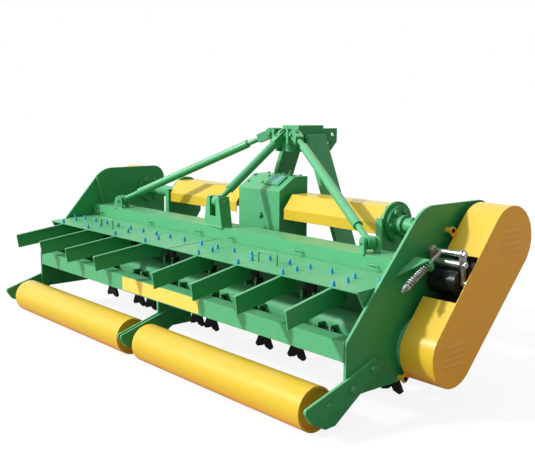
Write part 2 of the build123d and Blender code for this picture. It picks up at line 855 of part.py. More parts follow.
# Shaft guards: bent sheet over the cross shaft, between the gearbox and the bearing brackets
guard_rear = (
    (-shaft_guard_half, shaft_guard_low), (-shaft_guard_half, shaft_guard_fold),
    (-shaft_guard_flat, shaft_guard_top),
)
guard_front = [(-ahead, height) for ahead, height in guard_rear[::-1]]
guard_bend = [(shaft_station + ahead, height) for ahead, height in [*guard_rear, *guard_front]]
with BuildPart() as shaft_guard:
    with BuildSketch(Plane.YZ.offset(shaft_guard_in)):
        folded_sheet(guard_bend, shaft_guard_t)
    extrude(amount=bracket_x - shaft_guard_in)
write_pair(shaft_guard.part, "shaft_guard")


def along_y(station, x=0.0, height=0.0):
    """Plane that faces the rear at a station, its local origin at x and height."""
    return Plane(origin=(x, roller_y + station, height), x_dir=(1, 0, 0), z_dir=(0, -1, 0))


# Gearbox with its bearing caps, bored for the cross shaft and the input shaft
with BuildPart() as gearbox:
    with BuildSketch(Plane.YZ.offset(-gearbox_half)):
        outline((
            (gearbox_rear, front_slope(gearbox_rear)), (gearbox_rear, gearbox_shoulder),
            (gearbox_crest, gearbox_top), (gearbox_front, gearbox_top), (gearbox_front, gearbox_foot),
            (front_plate, front_shoulder),
        ))
    extrude(amount=2 * gearbox_half)
    add(turned(shaft_station, shaft_height, [
        (gearbox_half, gearbox_half + gearbox_cap, shaft_r + fit, gearbox_cap_r),
        (-gearbox_half - gearbox_cap, -gearbox_half, shaft_r + fit, gearbox_cap_r),
    ]))
    with Locations(Location((0, roller_y + shaft_station, shaft_height), (0, 90, 0))):
        Cylinder(shaft_r + fit, 2 * (gearbox_half + gearbox_cap), mode=Mode.SUBTRACT)
    with BuildSketch(along_y(pto_seat, height=shaft_height)):
        Circle(pto_journal_r + fit)
    extrude(amount=pto_seat - gearbox_front, mode=Mode.SUBTRACT)
write(gearbox.part, "gearbox")

# Input shaft for the tractor's drive line, and the tube that guards it
with BuildPart() as pto_shaft:
    with BuildSketch(along_y(pto_seat + seat_gap, height=shaft_height)):
        Circle(pto_journal_r)
    extrude(amount=pto_seat + seat_gap - pto_journal_end)
    with BuildSketch(along_y(pto_journal_end, height=shaft_height)):
        Circle(pto_r)
    extrude(amount=pto_journal_end - pto_end)
write(pto_shaft.part, "pto_shaft")

with BuildPart() as pto_guard:
    with BuildSketch(along_y(gearbox_front, height=shaft_height)):
        Circle(pto_guard_r)
        Circle(pto_guard_r - pto_guard_wall, mode=Mode.SUBTRACT)
    extrude(amount=gearbox_front - pto_guard_end)
write(pto_guard.part, "pto_guard")


def brace_frame(top, bottom):
    """Ends of a brace, its direction, its level direction and its pins' direction."""
    start = Vector(top[0], roller_y + top[1], top[2])
    finish = Vector(bottom[0], roller_y + bottom[1], bottom[2])
    level = Vector(finish.X - start.X, finish.Y - start.Y, 0).normalized()
    return start, finish, (finish - start).normalized(), level, Vector(level.Y, -level.X, 0)


# Mast head: two cheeks, cover, web, floor and the lugs and pins that take the braces
floor_half = head_half + leg_slope * (leg_top - head_bottom)
floor_top_half = floor_half - leg_slope * plate_t
with BuildPart() as mast_head:
    for cheek_x in (-head_half, head_half - head_t):
        with BuildSketch(Plane.YZ.offset(cheek_x)):
            outline((
                (head_rear, head_top), (head_front, head_top), (head_front, head_nose_height),
                (head_chin, head_bottom), (head_heel, head_bottom), (head_rear, head_nose_height),
            ))
            with Locations(at(*top_link_hole)):
                Circle(top_link_r, mode=Mode.SUBTRACT)
            with Locations(at(*second_hole)):
                Circle(second_hole_r, mode=Mode.SUBTRACT)
        extrude(amount=head_t)
    with BuildSketch(along_y(head_cover_rear, height=head_top)):
        with Locations((0, head_t / 2)):
            Rectangle(2 * head_half, head_t)
    extrude(amount=head_cover_rear - head_cover_front)
    with BuildSketch(along_y(head_web, height=head_bottom)):
        with Locations((0, (head_top - head_bottom) / 2)):
            Rectangle(2 * head_half - head_t, head_top - head_bottom)
    extrude(amount=-plate_t)
    with BuildSketch(along_y(leg_rear, height=head_bottom)):
        with BuildLine():
            Polyline(
                (-floor_half, 0), (floor_half, 0), (floor_top_half, plate_t), (-floor_top_half, plate_t),
                close=True,
            )
        make_face()
    extrude(amount=leg_rear - leg_front)
    for top, bottom in brace_ends.values():
        start, finish, way, level, pin = brace_frame(top, bottom)
        with BuildSketch(Plane(origin=start, x_dir=level, z_dir=pin)):
            Circle(lug_eye_r)
            with Locations((-lug_reach / 2, 0)):
                Rectangle(lug_reach, 2 * lug_eye_r)
        extrude(amount=lug_half, both=True)
        with BuildSketch(Plane(origin=start, x_dir=level, z_dir=pin)):
            Circle(brace_pin_r)
        extrude(amount=lug_half + seat_gap + fork_cheek, both=True)
write(mast_head.part, "mast_head")

# Mast legs from the head down to the hitch beam
beam_face = hitch_height + hitch_beam_size / 2
leg_run = leg_slope * (leg_top - beam_face)
with BuildPart() as mast_leg:
    with BuildSketch(along_y(leg_rear)):
        with BuildLine():
            Polyline(
                (head_half, leg_top), (head_half + leg_t, leg_top), (head_half + leg_t + leg_run, beam_face),
                (head_half + leg_run, beam_face), close=True,
            )
        make_face()
    extrude(amount=leg_rear - leg_front)
write_pair(mast_leg.part, "mast_leg")

# Hitch beam, and the plates that carry it on the hood and hold the lower hitch pins
with BuildPart() as hitch_beam:
    with BuildSketch(Plane.YZ.offset(hitch_plate_t - hitch_shoulder)):
        hitch_beam_inside = hitch_beam_size - 2 * hitch_beam_wall
        with Locations(at(hitch_beam_station, hitch_height)):
            Rectangle(hitch_beam_size, hitch_beam_size)
            Rectangle(hitch_beam_inside, hitch_beam_inside, mode=Mode.SUBTRACT)
    extrude(amount=2 * (hitch_shoulder - hitch_plate_t))
write(hitch_beam.part, "hitch_beam")

with BuildPart() as hitch_plate:
    with BuildSketch(Plane.YZ.offset(hitch_shoulder - hitch_plate_t)):
        outline((
            (front_plate, front_bottom), (front_plate, front_shoulder),
            (hitch_beam_station - hitch_beam_size, beam_face), (leg_front, beam_face),
            (leg_front, beam_face - hitch_beam_size), (hitch_beam_station, front_bottom + hitch_plate_rise),
        ))
    extrude(amount=hitch_plate_t)
    pin_step = (hitch_shoulder, hitch_shoulder + hitch_pin, 0, hitch_pin_r)
    add(turned(hitch_beam_station, hitch_height, [pin_step]))
write_pair(hitch_plate.part, "hitch_plate")

# Braces: fork on the mast head's lug, rod and tube, and an eye in the clevis on the hood
for side, (top, bottom) in brace_ends.items():
    start, finish, way, level, pin = brace_frame(top, bottom)
    span = (finish - start).length
    top_rod, foot_rod = brace_rods[side]
    flat = Plane(origin=start, x_dir=way, z_dir=pin)
    fork_in = lug_half + seat_gap
    with BuildPart() as brace:
        for face in (-1, 1):
            with BuildSketch(flat.offset(face * fork_in)):
                Circle(fork_back)
                with Locations((fork_root / 2, 0)):
                    Rectangle(fork_root, 2 * fork_back)
            extrude(amount=face * fork_cheek)
        with BuildSketch(flat):
            with Locations(((fork_throat + fork_root) / 2, 0)):
                Rectangle(fork_root - fork_throat, 2 * fork_back)
        extrude(amount=fork_in + fork_cheek, both=True)
        with BuildSketch(flat):
            with Locations((span, 0)):
                Circle(eye_r)
            with Locations((span - eye_neck / 2, 0)):
                Rectangle(eye_neck, 2 * brace_rod_r)
        extrude(amount=eye_half, both=True)
        with BuildSketch(Plane(origin=start + way * fork_root, z_dir=way)):
            Circle(brace_rod_r)
        extrude(amount=span - fork_root - eye_neck)
        with BuildSketch(Plane(origin=start + way * (fork_root + top_rod), z_dir=way)):
            Circle(brace_tube_r)
        extrude(amount=span - fork_root - top_rod - foot_rod - eye_neck)
        with BuildSketch(flat):
            with Locations((0, 0), (span, 0)):
                Circle(brace_pin_r + brace_pin_gap)
        extrude(amount=fork_in + fork_cheek, both=True, mode=Mode.SUBTRACT)
    write(brace.part, f"brace_{side}")

# Clevises on the hood's flat top: ears and a pin for each side brace, a slotted bracket for the middle one
ear_in = eye_half + ear_gap
with BuildPart() as brace_clevises:
    for side in ("right", "left"):
        start, finish, way, level, pin = brace_frame(*brace_ends[side])
        drop = finish.Z - ridge_height
        upright = Plane(origin=finish, x_dir=level, z_dir=pin)
        for face in (-1, 1):
            with BuildSketch(upright.offset(face * ear_in)):
                Circle(ear_top_r)
                with BuildLine():
                    Polyline(
                        (-ear_top_r, 0), (-ear_foot, -drop), (ear_foot, -drop), (ear_top_r, 0), close=True,
                    )
                make_face()
            extrude(amount=face * ear_t)
        with BuildSketch(upright):
            Circle(brace_pin_r)
        extrude(amount=ear_in + ear_t, both=True)
    start, finish, way, level, pin = brace_frame(*brace_ends["middle"])
    drop = finish.Z - ridge_height
    facing = Plane(origin=finish, x_dir=-pin, z_dir=level)
    for wall, mode in ((0.0, Mode.ADD), (middle_wall, Mode.SUBTRACT)):
        with BuildSketch(facing.offset(middle_depth / 2 - wall)):
            with BuildLine():
                Polyline(
                    (wall - middle_foot_half, -drop), (middle_foot_half - wall, -drop),
                    (middle_top_half - wall, ear_top_r), (wall - middle_top_half, ear_top_r), close=True,
                )
            make_face()
        extrude(amount=-middle_depth, mode=mode)
    with BuildSketch(facing.offset(middle_depth / 2)):
        with Locations((0, (ear_top_r - middle_web_drop) / 2)):
            Rectangle(2 * middle_slot, ear_top_r + middle_web_drop)
    extrude(amount=-middle_wall, mode=Mode.SUBTRACT)
    with BuildSketch(Plane(origin=finish, x_dir=level, z_dir=pin)):
        Circle(brace_pin_r)
    extrude(amount=middle_pin / 2, both=True)
write(brace_clevises.part, "brace_clevises")

# Parking stands: bracket and pin on the hood's front plate, leg that swings outwards
stand_rear = front_plate + stand_plate + stand_gap
stand_front = stand_rear + stand_tube
ear_station = stand_front + stand_gap
web_x = stand_x - stand_tube / 2 - stand_gap - stand_plate / 2
with BuildPart() as stand_bracket:
    bracket_height = stand_bracket_up + stand_bracket_down
    bracket_middle = stand_pivot + (stand_bracket_up - stand_bracket_down) / 2
    for station in (front_plate, ear_station):
        with BuildSketch(along_y(station, stand_x, bracket_middle)):
            Rectangle(2 * stand_bracket_half, bracket_height)
        extrude(amount=-stand_plate)
    with BuildSketch(along_y(front_plate, web_x, stand_pivot - (stand_stop_drop + stand_bracket_down) / 2)):
        Rectangle(stand_plate, stand_bracket_down - stand_stop_drop)
    extrude(amount=front_plate - ear_station)
    with BuildSketch(along_y(front_plate, stand_x, stand_pivot)):
        Circle(stand_pin_r)
    extrude(amount=front_plate - ear_station - stand_plate)
write_both(stand_bracket.part, "stand_brackets")

with BuildPart() as stand:
    with BuildSketch(Plane.XY.offset(foot_t)):
        with Locations((stand_x, roller_y + (stand_rear + stand_front) / 2)):
            Rectangle(stand_tube, stand_tube)
            Rectangle(stand_tube - 2 * stand_wall, stand_tube - 2 * stand_wall, mode=Mode.SUBTRACT)
    extrude(amount=stand_pivot + stand_head - foot_t)
    with BuildSketch(Plane.XY):
        with Locations((stand_x - foot_shift, roller_y + stand_rear + foot_width / 2)):
            Rectangle(foot_length, foot_width)
    extrude(amount=foot_t)
    with BuildSketch(along_y(front_plate, stand_x, stand_pivot)):
        Circle(stand_pin_r + fit)
    extrude(amount=front_plate - ear_station, mode=Mode.SUBTRACT)
write_pair(stand.part, "stand")

# Handles on the rear covers
handle_foot = cover_top(handle_station + handle_r) + fit
with BuildPart() as handles:
    for middle in handle_x:
        with BuildLine(along_y(handle_station, middle, handle_foot)) as bow:
            FilletPolyline(
                (-handle_span / 2, 0), (-handle_span / 2, handle_height), (handle_span / 2, handle_height),
                (handle_span / 2, 0), radius=handle_bend,
            )
        with BuildSketch(Plane(origin=bow.line @ 0, z_dir=bow.line % 0)):
            Circle(handle_r)
        sweep(path=bow.line)
write(handles.part, "cover_handles")
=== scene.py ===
import json
import math

import bmesh
import bpy
from mathutils import Matrix, Vector


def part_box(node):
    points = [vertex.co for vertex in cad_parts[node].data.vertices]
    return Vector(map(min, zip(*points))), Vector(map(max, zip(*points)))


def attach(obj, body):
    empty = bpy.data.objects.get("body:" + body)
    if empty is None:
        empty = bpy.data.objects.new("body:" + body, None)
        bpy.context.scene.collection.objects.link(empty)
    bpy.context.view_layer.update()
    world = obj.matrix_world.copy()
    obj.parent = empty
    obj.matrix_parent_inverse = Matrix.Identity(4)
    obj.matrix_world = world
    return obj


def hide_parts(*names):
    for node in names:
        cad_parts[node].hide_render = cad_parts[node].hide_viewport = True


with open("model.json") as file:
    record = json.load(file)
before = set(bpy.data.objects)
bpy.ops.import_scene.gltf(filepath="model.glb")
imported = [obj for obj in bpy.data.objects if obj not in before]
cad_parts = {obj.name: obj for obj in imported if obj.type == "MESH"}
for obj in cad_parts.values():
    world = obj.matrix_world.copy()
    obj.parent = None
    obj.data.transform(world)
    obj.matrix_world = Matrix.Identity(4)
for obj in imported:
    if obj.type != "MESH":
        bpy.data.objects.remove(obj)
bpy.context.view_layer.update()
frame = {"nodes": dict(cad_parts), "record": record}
nodes = frame["nodes"]
scene = bpy.context.scene

X_AXIS = Vector((1, 0, 0))
Y_AXIS = Vector((0, 1, 0))
Z_AXIS = Vector((0, 0, 1))
SIDES = (1, -1)


# Places taken from the frame, in metres

def middle(node):
    """Centre of a node's box."""
    low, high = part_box(node)
    return (low + high) / 2


ROLLER = middle("roller_right")
ROTOR = middle("rotor_bearings")
SHAFT = middle("cross_shaft")
PLATE_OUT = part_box("side_plate_right")[1].x
PLATE_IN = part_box("side_plate_right")[0].x
COVER_LOW, COVER_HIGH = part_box("rear_cover_right")
GEARBOX_LOW, GEARBOX_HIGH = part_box("gearbox")
BEAM_LOW, BEAM_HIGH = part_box("rear_beam")
HOOD_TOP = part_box("hood")[1].z


def at(x, station, height):
    """Point whose station is its distance ahead of the roller axis."""
    return Vector((x, ROLLER.y + station, height))


def on_shaft(x):
    """Point on the cross shaft's axis."""
    return Vector((x, SHAFT.y, SHAFT.z))


def mirrored(point, side):
    """The point itself for side 1, or its mirror image on the left for side -1."""
    return Vector((side * point.x, point.y, point.z))


# Shader helpers

# A Mix node's inputs for the factor and two colours, and its colour output
MIX_INPUTS = (0, 6, 7)
MIX_OUTPUT = 2


def plug(tree, socket, value):
    """Sets an input to a value, or links it to another node's output."""
    if isinstance(value, bpy.types.NodeSocket):
        tree.links.new(value, socket)
    else:
        socket.default_value = value


def shader_node(tree, kind, settings=None, **inputs):
    """Adds a node; an underscore in an input's name stands for a space."""
    made = tree.nodes.new(kind)
    for name, value in (settings or {}).items():
        setattr(made, name, value)
    for name, value in inputs.items():
        plug(tree, made.inputs[name.replace("_", " ")], value)
    return made


def mix_colour(tree, factor, first, second):
    """Colour between two others by a factor from 0 to 1."""
    made = shader_node(tree, "ShaderNodeMix", {"data_type": "RGBA"})
    for index, value in zip(MIX_INPUTS, (factor, first, second)):
        plug(tree, made.inputs[index], value)
    return made.outputs[MIX_OUTPUT]


def math_node(tree, operation, first, second):
    """One sum on two values."""
    made = shader_node(tree, "ShaderNodeMath", {"operation": operation})
    plug(tree, made.inputs[0], first)
    plug(tree, made.inputs[1], second)
    return made.outputs[0]


def dot_product(tree, first, second):
    """How far two directions agree."""
    made = shader_node(tree, "ShaderNodeVectorMath", {"operation": "DOT_PRODUCT"})
    plug(tree, made.inputs[0], first)
    plug(tree, made.inputs[1], second)
    return made.outputs["Value"]


def remap(tree, value, low, high, to_low=0.0, to_high=1.0):
    """Clamped linear change of range."""
    made = shader_node(
        tree, "ShaderNodeMapRange", Value=value, From_Min=low, From_Max=high, To_Min=to_low, To_Max=to_high,
    )
    return made.outputs["Result"]


def noise(tree, coords, scale, detail):
    """Cloudy value round 0.5."""
    made = shader_node(tree, "ShaderNodeTexNoise", Vector=coords, Scale=scale, Detail=detail)
    return made.outputs["Fac"]


def clouds(tree, coords, scale, detail, low, high, to_low=0.0, to_high=1.0):
    """Noise with its contrast stretched between two levels."""
    return remap(tree, noise(tree, coords, scale, detail), low, high, to_low, to_high)


def linear(red, green, blue):
    """Linear colour, with alpha, of an sRGB one given from 0 to 255."""
    return tuple(math.pow((value / 255 + 0.055) / 1.055, 2.4) for value in (red, green, blue)) + (1.0,)


def shaded(colour, factor):
    """Colour made darker or lighter, with full alpha."""
    return tuple(channel * factor for channel in colour[:3]) + (1.0,)


# Materials

EDGE_RADIUS = 0.0025
# Direction toward the sun, to the rear and above: paint turned this way takes its paler painted-light colour
PAINTED_LIGHT_SIDE = Vector((0, -0.72, 0.69))


def new_material(name):
    """Material with its node tree, its shader and the piece's own coordinates."""
    made = bpy.data.materials.new(name)
    made.use_nodes = True
    tree = made.node_tree
    coords = shader_node(tree, "ShaderNodeTexCoord").outputs["Object"]
    return made, tree, tree.nodes["Principled BSDF"], coords


def edge_mask(tree, radius):
    """Rounded normal, and a mask that is 1 along sharp edges."""
    rounded = shader_node(tree, "ShaderNodeBevel", {"samples": 4}, Radius=radius).outputs["Normal"]
    flat = shader_node(tree, "ShaderNodeNewGeometry").outputs["Normal"]
    return rounded, remap(tree, dot_product(tree, rounded, flat), 0.999, 0.85)


def dress(tree, surface, tone, gloss, relief, strength, depth, normal):
    """Links colour, roughness and a relief to the shader."""
    tree.links.new(tone, surface.inputs["Base Color"])
    tree.links.new(gloss, surface.inputs["Roughness"])
    bump = shader_node(
        tree, "ShaderNodeBump", Strength=strength, Distance=depth, Height=relief, Normal=normal,
    )
    tree.links.new(bump.outputs["Normal"], surface.inputs["Normal"])


def paint(name, colour, sunlit_colour, roughness, edge_wear_and_highlight, dust, coat=0.12):
    """Sprayed paint with painted light, paler on faces turned to the rear and above where the sun falls; with
    orange peel, lighter edges that are part wear and part painted highlight, and dust on top.
    """
    made, tree, surface, coords = new_material(name)
    rounded, edges = edge_mask(tree, EDGE_RADIUS)
    normal = shader_node(tree, "ShaderNodeNewGeometry").outputs["Normal"]
    # Painted light: faces turned toward the sun take the paler sunlit colour, and faces turned away keep the
    # plain colour
    painted_sunlit_share = remap(tree, dot_product(tree, normal, PAINTED_LIGHT_SIDE), 0.15, 0.62)
    tone = mix_colour(tree, painted_sunlit_share, colour, sunlit_colour)
    darker = shaded(colour, 0.8)
    tone = mix_colour(tree, clouds(tree, coords, 2.3, 3.0, 0.3, 0.7, 0.0, 0.08), tone, darker)
    tone = mix_colour(tree, clouds(tree, coords, 38.0, 6.0, 0.42, 0.75, 0.0, 0.16), tone, darker)
    upward = shader_node(tree, "ShaderNodeSeparateXYZ", Vector=normal).outputs["Z"]
    level = remap(tree, upward, 0.2, 0.95, 0.0, 0.16)
    settled = math_node(tree, "MULTIPLY", level, clouds(tree, coords, 7.0, 7.0, 0.35, 0.7))
    tone = mix_colour(tree, settled, tone, dust)
    # Lighter edges, part wear and part painted highlight
    worn_lit_edges = math_node(tree, "MULTIPLY", edges, clouds(tree, coords, 22.0, 5.0, 0.36, 0.62, 0.12, 0.6))
    tone = mix_colour(tree, worn_lit_edges, tone, edge_wear_and_highlight)
    gloss = clouds(tree, coords, 11.0, 5.0, 0.3, 0.7, roughness - 0.06, roughness + 0.09)
    dress(tree, surface, tone, gloss, noise(tree, coords, 260.0, 2.0), 0.06, 0.001, rounded)
    surface.inputs["Specular IOR Level"].default_value = 0.35
    surface.inputs["Coat Weight"].default_value = coat
    surface.inputs["Coat Roughness"].default_value = 0.18
    return made


def metal(name, colour, roughness, dirt, scratches=480.0, metallic=1.0):
    """Bare or plated metal with cloudy tone, fine scratches and darker dirt."""
    made, tree, surface, coords = new_material(name)
    rounded, edges = edge_mask(tree, EDGE_RADIUS / 2)
    tone = mix_colour(tree, clouds(tree, coords, 14.0, 5.0, 0.35, 0.7), shaded(colour, 0.82), colour)
    tone = mix_colour(tree, clouds(tree, coords, 32.0, 6.0, 0.52, 0.75, 0.0, 0.55), tone, dirt)
    # Painted highlight: sharp edges made lighter
    tone = mix_colour(tree, math_node(tree, "MULTIPLY", edges, 0.35), tone, shaded(colour, 1.15))
    gloss = clouds(tree, coords, 45.0, 5.0, 0.3, 0.7, roughness - 0.08, roughness + 0.14)
    dress(tree, surface, tone, gloss, noise(tree, coords, scratches, 3.0), 0.08, 0.0006, rounded)
    surface.inputs["Metallic"].default_value = metallic
    return made


def dark_solid(name, colour, roughness, edge_wear_and_highlight, grain, strength, metallic=0.0):
    """Rubber, black plastic or black iron: mottled, with paler edges that are part wear and part painted
    highlight.
    """
    made, tree, surface, coords = new_material(name)
    rounded, edges = edge_mask(tree, EDGE_RADIUS / 2)
    mottled = clouds(tree, coords, 18.0, 6.0, 0.3, 0.7)
    tone = mix_colour(tree, mottled, shaded(colour, 0.7), shaded(colour, 1.4))
    # Paler edges, part wear and part painted highlight
    worn_lit_edges = math_node(tree, "MULTIPLY", edges, clouds(tree, coords, 30.0, 4.0, 0.4, 0.65, 0.1, 0.7))
    tone = mix_colour(tree, worn_lit_edges, tone, edge_wear_and_highlight)
    gloss = clouds(tree, coords, 25.0, 4.0, 0.3, 0.7, roughness - 0.08, roughness + 0.1)
    dress(tree, surface, tone, gloss, noise(tree, coords, grain, 4.0), strength, 0.001, rounded)
    surface.inputs["Metallic"].default_value = metallic
    return made


# Plain paint colours, and their paler painted-light colours for faces turned toward the sun
GREEN = linear(45, 152, 84)
GREEN_PAINTED_SUNLIT = linear(86, 173, 120)
YELLOW = linear(255, 180, 44)
YELLOW_PAINTED_SUNLIT = linear(214, 183, 47)
STRIP = linear(240, 210, 96)
green_paint = paint("green_paint", GREEN, GREEN_PAINTED_SUNLIT, 0.4, linear(150, 215, 160), linear(170, 190, 150))
yellow_paint = paint("yellow_paint", YELLOW, YELLOW_PAINTED_SUNLIT, 0.34, linear(255, 226, 140), linear(222, 200, 140))
strip_paint = paint("strip_paint", STRIP, STRIP, 0.45, linear(250, 235, 160), linear(220, 200, 150), 0.05)
zinc = metal("zinc_plate", linear(205, 207, 206), 0.34, linear(120, 118, 112))
turned_steel = metal("turned_steel", linear(186, 188, 190), 0.28, linear(92, 84, 74), scratches=720.0)
blue_zinc = metal("blue_zinc", linear(70, 172, 216), 0.45, linear(56, 140, 184), metallic=0.2)
plate_metal = metal("plate_metal", linear(112, 190, 166), 0.4, linear(84, 140, 124), metallic=0.4)
black_iron = dark_solid("black_iron", linear(34, 37, 36), 0.48, linear(96, 98, 96), 120.0, 0.35, 0.55)
black_rubber = dark_solid("black_rubber", linear(25, 26, 27), 0.62, linear(60, 60, 60), 420.0, 0.12)
black_drum = dark_solid("black_drum", linear(24, 25, 27), 0.3, linear(120, 122, 122), 90.0, 0.06, 0.3)
black_plastic = dark_solid("black_plastic", linear(28, 28, 29), 0.45, linear(70, 70, 70), 300.0, 0.1)

SLOT_MATERIALS = {
    "green_paint": green_paint,
    "yellow_paint": yellow_paint,
    "black_rubber": black_rubber,
    "bright_steel": turned_steel,
    "zinc_steel": zinc,
    "dark_iron": black_iron,
    "black_plastic": black_plastic,
}
NODE_MATERIALS = {"idlers": black_drum}
for subpart in frame["record"]["subparts"]:
    node = nodes[subpart["node"]]
    node.data.materials.clear()
    node.data.materials.append(NODE_MATERIALS.get(subpart["node"], SLOT_MATERIALS[subpart["material_slot"]]))


# Mesh helpers

SMOOTH_ANGLE = math.radians(35)


def axes(origin, x_way, y_way, z_way):
    """Matrix with the given axes, at the origin."""
    return Matrix.Translation(origin) @ Matrix((x_way, y_way, z_way)).transposed().to_4x4()


def placed(origin, normal):
    """Matrix whose local Z is the normal, at the origin."""
    turn = Vector(normal).normalized().to_track_quat("Z", "Y").to_matrix().to_4x4()
    return Matrix.Translation(origin) @ turn


def circle(radius, count, turn=0.0):
    """Points spaced evenly on a circle."""
    angles = [turn + 2 * math.pi * step / count for step in range(count)]
    return [(radius * math.cos(angle), radius * math.sin(angle)) for angle in angles]


def rectangle(width, height):
    """Corners of a rectangle round the origin."""
    x, y = width / 2, height / 2
    return [(-x, -y), (x, -y), (x, y), (-x, y)]


def join_rings(bm, rings):
    """Side faces from ring to ring; a ring may be one single corner."""
    for lower, upper in zip(rings, rings[1:]):
        count = max(len(lower), len(upper))
        for step in range(count):
            following = (step + 1) % count
            corners = (
                lower[step % len(lower)], lower[following % len(lower)],
                upper[following % len(upper)], upper[step % len(upper)],
            )
            bm.faces.new(list(dict.fromkeys(corners)))


def skin(bm, rings):
    """Closed solid from rings of corners, with its two ends."""
    join_rings(bm, rings)
    bm.faces.new(rings[0][::-1])
    bm.faces.new(rings[-1])


def lathe(bm, place, profile, segments):
    """Closed turned solid from (radius, height) pairs that start and end at radius 0."""
    rings = []
    for radius, height in profile:
        points = circle(radius, segments) if radius else [(0, 0)]
        rings.append([bm.verts.new(place @ Vector((x, y, height))) for x, y in points])
    join_rings(bm, rings)


def tube(bm, points, radius, segments=8, ripple=0.0):
    """Closed round tube through points, with its radius swelling at every other point."""
    side = (points[1] - points[0]).normalized().orthogonal().normalized()
    rings = []
    for number, point in enumerate(points):
        before = points[max(number - 1, 0)]
        after = points[min(number + 1, len(points) - 1)]
        along = (after - before).normalized()
        side = (side - along * side.dot(along)).normalized()
        up = along.cross(side)
        swell = radius * (1 + ripple * (number % 2))
        rings.append([bm.verts.new(point + side * x + up * y) for x, y in circle(swell, segments)])
    skin(bm, rings)


def prism(bm, place, outline, height, bevel=0.0):
    """Solid from a flat outline in the place's XY, its far face drawn in by the bevel."""
    corners = [Vector((x, y, 0)) for x, y in outline]
    centre = sum(corners, Vector()) / len(corners)
    levels = [(0.0, 0.0), (height, 0.0)]
    if bevel:
        levels = [(0.0, 0.0), (height - bevel, 0.0), (height, bevel)]
    rings = []
    for level, inset in levels:
        ring = []
        for corner in corners:
            inward = centre - corner
            drawn = corner + inward.normalized() * min(inset, inward.length)
            ring.append(bm.verts.new(place @ (drawn + Z_AXIS * level)))
        rings.append(ring)
    skin(bm, rings)


def finish_piece(name, bm, material, body):
    """Turns a mesh under construction into a piece that rides on a body."""
    bmesh.ops.recalc_face_normals(bm, faces=bm.faces)
    mesh = bpy.data.meshes.new(name)
    bm.to_mesh(mesh)
    bm.free()
    for polygon in mesh.polygons:
        polygon.use_smooth = True
    mesh.set_sharp_from_angle(angle=SMOOTH_ANGLE)
    mesh.materials.append(material)
    piece = bpy.data.objects.new(name, mesh)
    scene.collection.objects.link(piece)
    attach(piece, body)
    return piece


# Bolts and welds

HEXAGON = 6
WASHER_SEGMENTS = 20
STUD_SEGMENTS = 12
RING_COUNT = 6
WELD_PITCH = 0.006
WELD_R = 0.004
WELD_RIPPLE = 0.16


def washer(bm, place, radius, thickness):
    lathe(bm, place, [(0, 0), (radius, 0), (radius, thickness), (0, thickness)], WASHER_SEGMENTS)


def hex_bolt(bm, origin, normal, size, stud=0.0):
    """Washer, hexagon head and, for a nut, the stud's end above it; size is the thread's diameter."""
    place = placed(origin, normal)
    corner, chamfer = 0.92 * size, 0.1 * size
    foot = 0.16 * size
    top = foot + 0.7 * size
    washer(bm, place, 1.1 * size, foot)
    lathe(bm, place, [
        (0, foot), (corner, foot), (corner, top - chamfer), (0.86 * corner, top), (0, top),
    ], HEXAGON)
    if stud:
        radius, tip = size / 2, top + stud
        lathe(bm, place, [
            (0, top), (radius, top), (radius, tip - chamfer), (0.38 * size, tip), (0, tip),
        ], STUD_SEGMENTS)


def ring_bolts(bm, centre, normal, radius, size, turn=0.0):
    """Bolts on a circle about an X line."""
    for y, z in circle(radius, RING_COUNT, turn):
        hex_bolt(bm, centre + Vector((0, y, z)), normal, size)


def weld(bm, start, end):
    """Rippled bead between two points."""
    count = max(3, int((end - start).length / WELD_PITCH))
    points = [start.lerp(end, step / count) for step in range(count + 1)]
    tube(bm, points, WELD_R, 6, WELD_RIPPLE)


# Rear covers: cap nuts, painted seam shadow and hooks

COVER_T = 0.006
COVER_SLOPE = 0.0135 / 0.277
COVER_REAR_TOP = COVER_HIGH.z - COVER_SLOPE * (COVER_HIGH.y - COVER_LOW.y)
COVER_NORMAL = Vector((0, -COVER_SLOPE, 1)).normalized()
LAP_ROW = 0.305
LAP_PITCH = 0.1205
LAP_COUNT = 10
LAP_FIRST_RIGHT = 0.056
LAP_FIRST_LEFT = -0.080
VANE_X = (0.215, 0.490, 0.765, 1.040)
VANE_ROWS = (0.171, 0.246)
CAP_NUT_R = 0.0074
CAP_NUT_TOP = 0.0225
CAP_NUT_WASHER = 0.0016
CAP_NUT_HEXAGON = 0.009
CAP_NUT_CHAMFER = 0.001
DOME_STEPS = 6
DOME_SEGMENTS = 16


def on_cover(x, station):
    """Point on the upper face of the rear covers, and in line with it behind them."""
    point = at(x, station, 0)
    point.z = COVER_REAR_TOP + COVER_SLOPE * (point.y - COVER_LOW.y)
    return point


def cap_nut(bm, origin, normal):
    """Washer, low hexagon and tall domed cap."""
    place = placed(origin, normal)
    foot, top = CAP_NUT_WASHER, CAP_NUT_HEXAGON
    washer(bm, place, 1.15 * CAP_NUT_R, foot)
    lathe(bm, place, [
        (0, foot), (CAP_NUT_R, foot), (CAP_NUT_R, top - CAP_NUT_CHAMFER), (0.9 * CAP_NUT_R, top), (0, top),
    ], HEXAGON)
    cap, shoulder = 0.88 * CAP_NUT_R, 0.55 * CAP_NUT_TOP
    dome = [(0, top), (cap, top)]
    for step in range(DOME_STEPS):
        angle = math.pi / 2 * step / DOME_STEPS
        dome.append((cap * math.cos(angle), shoulder + (CAP_NUT_TOP - shoulder) * math.sin(angle)))
    lathe(bm, place, [*dome, (0, CAP_NUT_TOP)], DOME_SEGMENTS)


